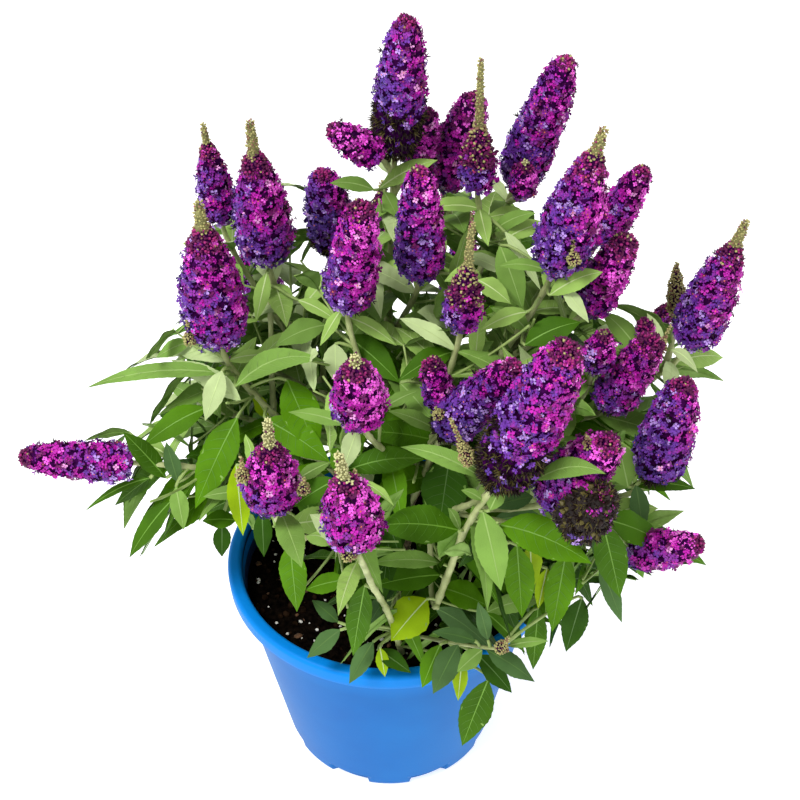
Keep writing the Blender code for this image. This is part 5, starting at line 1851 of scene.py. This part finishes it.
def pot_material():
    """Blue plastic with faint scuffs, and painted light on the rim: the blue grows lighter towards the
    pot's top.
    """
    blues = srgb(0, 92, 166), srgb(0, 104, 178)
    made = mottled("pot_blue", *blues, 0.45, 9.0, 0.10, 900.0, Specular_IOR_Level=0.10)
    link = made.node_tree.links.new
    base = made.node_tree.nodes["Principled BSDF"].inputs["Base Color"]
    body = base.links[0].from_socket
    parts = add_node(made, "SeparateXYZ")
    link(add_node(made, "TexCoord").outputs["Object"], parts.inputs["Vector"])
    # painted light: from below the rim up to the pot's top the blue is mixed towards a lighter one
    rise = add_node(made, "MapRange", From_Min=RIM_FOOT - 0.030, From_Max=POT_HEIGHT - 0.002)
    link(parts.outputs["Z"], rise.inputs["Value"])
    mix = add_node(made, "Mix")
    mix.data_type = "RGBA"
    link(rise.outputs["Result"], mix.inputs["Factor"])
    link(body, mix.inputs[6])
    # the lighter blue of the painted light on the rim
    mix.inputs[7].default_value = srgb(2, 124, 212)
    link(mix.outputs[2], base)
    return made


def darker(colour, share):
    """A darker shade of a colour."""
    return (*(part * share for part in colour[:3]), 1.0)


# deep and shade are darker greens: partly older leaves' own colour, partly painted shade for leaves
# under the crown. pale and dusty are partly young leaves' own grey, partly painted light on the high
# leaves.
LEAF_COLOURS = {
    "fresh": srgb(82, 132, 0),
    "mid": srgb(66, 110, 6),
    "deep": srgb(43, 82, 0),
    "shade": srgb(74, 108, 56),
    "pale": srgb(152, 188, 92),
    "sage": srgb(118, 155, 68),
    "dusty": srgb(188, 208, 146),
    "lime": srgb(148, 182, 8),
}
# the deep veins of the deep and shade leaves are darker with their painted shade
VEIN_COLOURS = {
    "deep": srgb(72, 112, 34),
    "green": srgb(102, 150, 34),
    "sage": srgb(140, 172, 88),
    "pale": srgb(186, 208, 138),
}
SIDE_VEIN_COLOURS = {
    "deep": srgb(54, 94, 14),
    "green": srgb(78, 128, 16),
    "sage": srgb(122, 156, 70),
    "pale": srgb(168, 194, 116),
}
FLORET_COLOURS = {
    # pink and magenta on the lit side are partly painted light; violet and blue, darkened for the shaded
    # side and lower parts, are partly painted shade
    "florets_pink": srgb(240, 94, 220),
    # pale blush pink: painted highlight on warm florets
    "florets_blush": srgb(234, 158, 220),
    "florets_magenta": srgb(184, 22, 166),
    "florets_plum": srgb(108, 10, 90),
    "florets_purple": srgb(136, 36, 154),
    "florets_violet": srgb(104, 48, 156),
    "florets_blue": srgb(82, 50, 140),
    # pale lilac: painted highlight among the cool florets
    "florets_lilac": srgb(184, 146, 226),
    "florets_spent": srgb(30, 15, 11),
    "husks_olive": srgb(92, 84, 40),
    "throats_orange": srgb(226, 120, 60),
    # dark throat: painted shade in the mouth of the floret's tube
    "throats_dark_shade": srgb(70, 10, 76),
    "buds_wine": srgb(90, 16, 70),
    "buds_plum": srgb(156, 34, 110),
    "buds_cream": srgb(204, 202, 146),
    "buds_olive": srgb(174, 168, 108),
    "buds_tan": srgb(140, 104, 84),
}


def finish_pieces():
    """Every heap as pieces with their materials; the solids that some heaps stand for are hidden."""
    pot = pot_material()
    # dark navy painted shade for the inside of the pot's wall
    shade_lining = mottled("pot_inside_shade", srgb(2, 30, 70), srgb(4, 42, 92), 0.5, 9.0)
    soil = mottled("soil_mix", srgb(2, 2, 2), srgb(20, 14, 10), 1.0, 260.0, 0.9, 900.0, **MATT)
    crumbs = mottled("soil_crumb", srgb(6, 4, 3), srgb(40, 27, 18), 1.0, 160.0, 0.6, 900.0, **MATT)
    perlite = mottled("perlite_white", srgb(190, 186, 176), srgb(240, 238, 232), 0.9, 300.0, 0.6, 1200.0)
    chips = mottled("bark_chip", srgb(50, 30, 18), srgb(112, 76, 46), 0.9, 200.0, 0.8, 800.0)
    bark = mottled("woody_bark", srgb(92, 78, 54), srgb(164, 146, 112), 0.85, 180.0, 0.9, 700.0)
    stem = mottled("stem_skin", srgb(128, 138, 82), srgb(184, 192, 134), 0.6, 60.0, 0.3, 900.0)
    twig = mottled("twig_skin", srgb(108, 134, 60), srgb(160, 180, 106), 0.6, 60.0, 0.3, 900.0)
    standing_for = {"pot_shell": ["pot"], "soil_bed": ["potting_soil"], "trunk_bark": ["trunk"]}
    standing_for["boughs_bark"] = ["bough_" + name for name in MASSES]
    standing_for["stems"] = ["mass_" + name for name in MASSES]
    plain = (
        ("pot_shell", pot, "pot_plastic"),
        ("pot_shade_lining", shade_lining, None),
        ("soil_bed", soil, "soil"),
        ("soil_crumbs", crumbs, "soil"),
        ("perlite", perlite, None),
        ("bark_bits", chips, None),
        ("trunk_bark", bark, "bark"),
        ("boughs_bark", bark, "bark"),
        ("stems", stem, None),
        ("twigs", twig, None),
    )
    for kind, material, slot in plain:
        for piece in heap_objects(kind, material):
            if kind in standing_for:
                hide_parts(*standing_for[kind])
    for kind, colour in LEAF_COLOURS.items():
        shades = darker(colour, 0.62), colour
        material = mottled("leaf_" + kind, *shades, 0.65, 26.0, 0.25, 1400.0, 6.0, **SATIN)
        for piece in heap_objects("leaves_" + kind, material):
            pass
    skin = srgb(92, 130, 46), srgb(134, 166, 88)
    under = mottled("leaf_under", *skin, 0.8, 70.0, 0.3, 1400.0, Specular_IOR_Level=0.15)
    for piece in heap_objects("leaf_undersides", under):
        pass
    for kind, colour in VEIN_COLOURS.items():
        material = mottled("vein_" + kind, darker(colour, 0.8), colour, 0.6, 90.0)
        heap_objects("veins_" + kind, material)
    for kind, colour in SIDE_VEIN_COLOURS.items():
        material = mottled("sidevein_" + kind, darker(colour, 0.8), colour, 0.6, 90.0)
        heap_objects("sideveins_" + kind, material)
    for kind, colour in FLORET_COLOURS.items():
        shades = darker(colour, 0.75), colour
        material = mottled(kind + "_petal", *shades, 0.55, 240.0, Specular_IOR_Level=0.25)
        heap_objects(kind, material, smooth=kind.startswith("buds"))
    # dark purple of the spike's inside: partly its own colour, partly painted shade between the florets
    core = mottled("bloom_dark_shade", srgb(26, 4, 34), srgb(58, 10, 68), 0.9, 300.0, Specular_IOR_Level=0.0)
    heap_objects("bloom_shade_cores", core)
    heap_objects("spent_cores", mottled("spent_brown", srgb(10, 5, 4), srgb(34, 20, 15), 0.9, 300.0))
    heap_objects("tail_cores", mottled("tail_green", srgb(92, 92, 48), srgb(130, 128, 76), 0.8, 200.0))


# Camera, floor and light

FLOOR_REACH = 6.0
FLOOR_GLOW = 0.60
WORLD_STRENGTH = 0.92
Light = namedtuple("Light", "name place target size power")
LIGHTS = (
    Light("key", (-0.8, -0.9, 2.1), (0, 0, 0.3), 0.6, 36),
    Light("fill", (1.4, -1.9, 1.3), (0, 0, 0.25), 1.2, 7),
)


def make_stage():
    """A wide white floor."""
    data = bpy.data.meshes.new("floor")
    corners = [(-1, -1), (1, -1), (1, 1), (-1, 1)]
    data.from_pydata([(x * FLOOR_REACH, y * FLOOR_REACH, 0) for x, y in corners], [], [(0, 1, 2, 3)])
    floor = linked("floor", data)
    glow = {"Emission_Color": (1, 1, 1, 1), "Emission_Strength": FLOOR_GLOW}
    material, _ = principled("floor_white", (0.80, 0.80, 0.80, 1.0), 0.9, **glow)
    data.materials.append(material)


def make_light():
    """The white surroundings, and a key and a fill light."""
    world = bpy.data.worlds.new("studio")
    world.use_nodes = True
    back = world.node_tree.nodes["Background"]
    back.inputs["Color"].default_value = (1.0, 1.0, 1.0, 1.0)
    back.inputs["Strength"].default_value = WORLD_STRENGTH
    scene = bpy.context.scene
    scene.world = world
    scene.view_settings.view_transform = "Standard"
    for light in LIGHTS:
        data = bpy.data.lights.new(light.name, "AREA")
        data.shape = "DISK"
        data.size = light.size
        data.energy = light.power
        made = linked(light.name, data)
        made.location = light.place
        made.rotation_mode = "QUATERNION"
        made.rotation_quaternion = (Vector(light.target) - Vector(light.place)).to_track_quat("-Z", "Y")


def make_camera():
    """The camera that took the photograph, as nearly as its picture tells."""
    data = bpy.data.cameras.new("camera")
    data.sensor_width = SENSOR_WIDTH
    data.lens = CAMERA_LENS
    camera = linked("camera", data)
    camera.location = EYE
    camera.rotation_euler = (math.pi / 2 - TILT, 0, 0)
    bpy.context.scene.camera = camera


def grow():
    """All the shoots, twigs, leaves and blooms, mass by mass."""
    make_shown(random.Random(5))
    for number, name in enumerate(MASSES):
        rng = random.Random(100 + number)
        shoots = shoots_of(name)
        sprigs = sprigs_of(number, name, rng)
        leaves = leaves_of(number, [points for _, points in shoots] + sprigs, rng)
        make_shoots(shoots, sprigs)
        for leaf in leaves:
            make_blade(leaf, leaf_kind(leaf, rng))
        for i, (end, _) in enumerate(shoots):
            if isinstance(end, Bloom) and end.look == "young":
                make_young(end)
            elif isinstance(end, Bloom):
                make_bloom(end, np.random.default_rng(1000 * number + i))


make_camera()
make_stage()
make_light()
make_pot()
make_soil()
make_soil_bits()
make_trunk()
make_boughs()
grow()
finish_pieces()
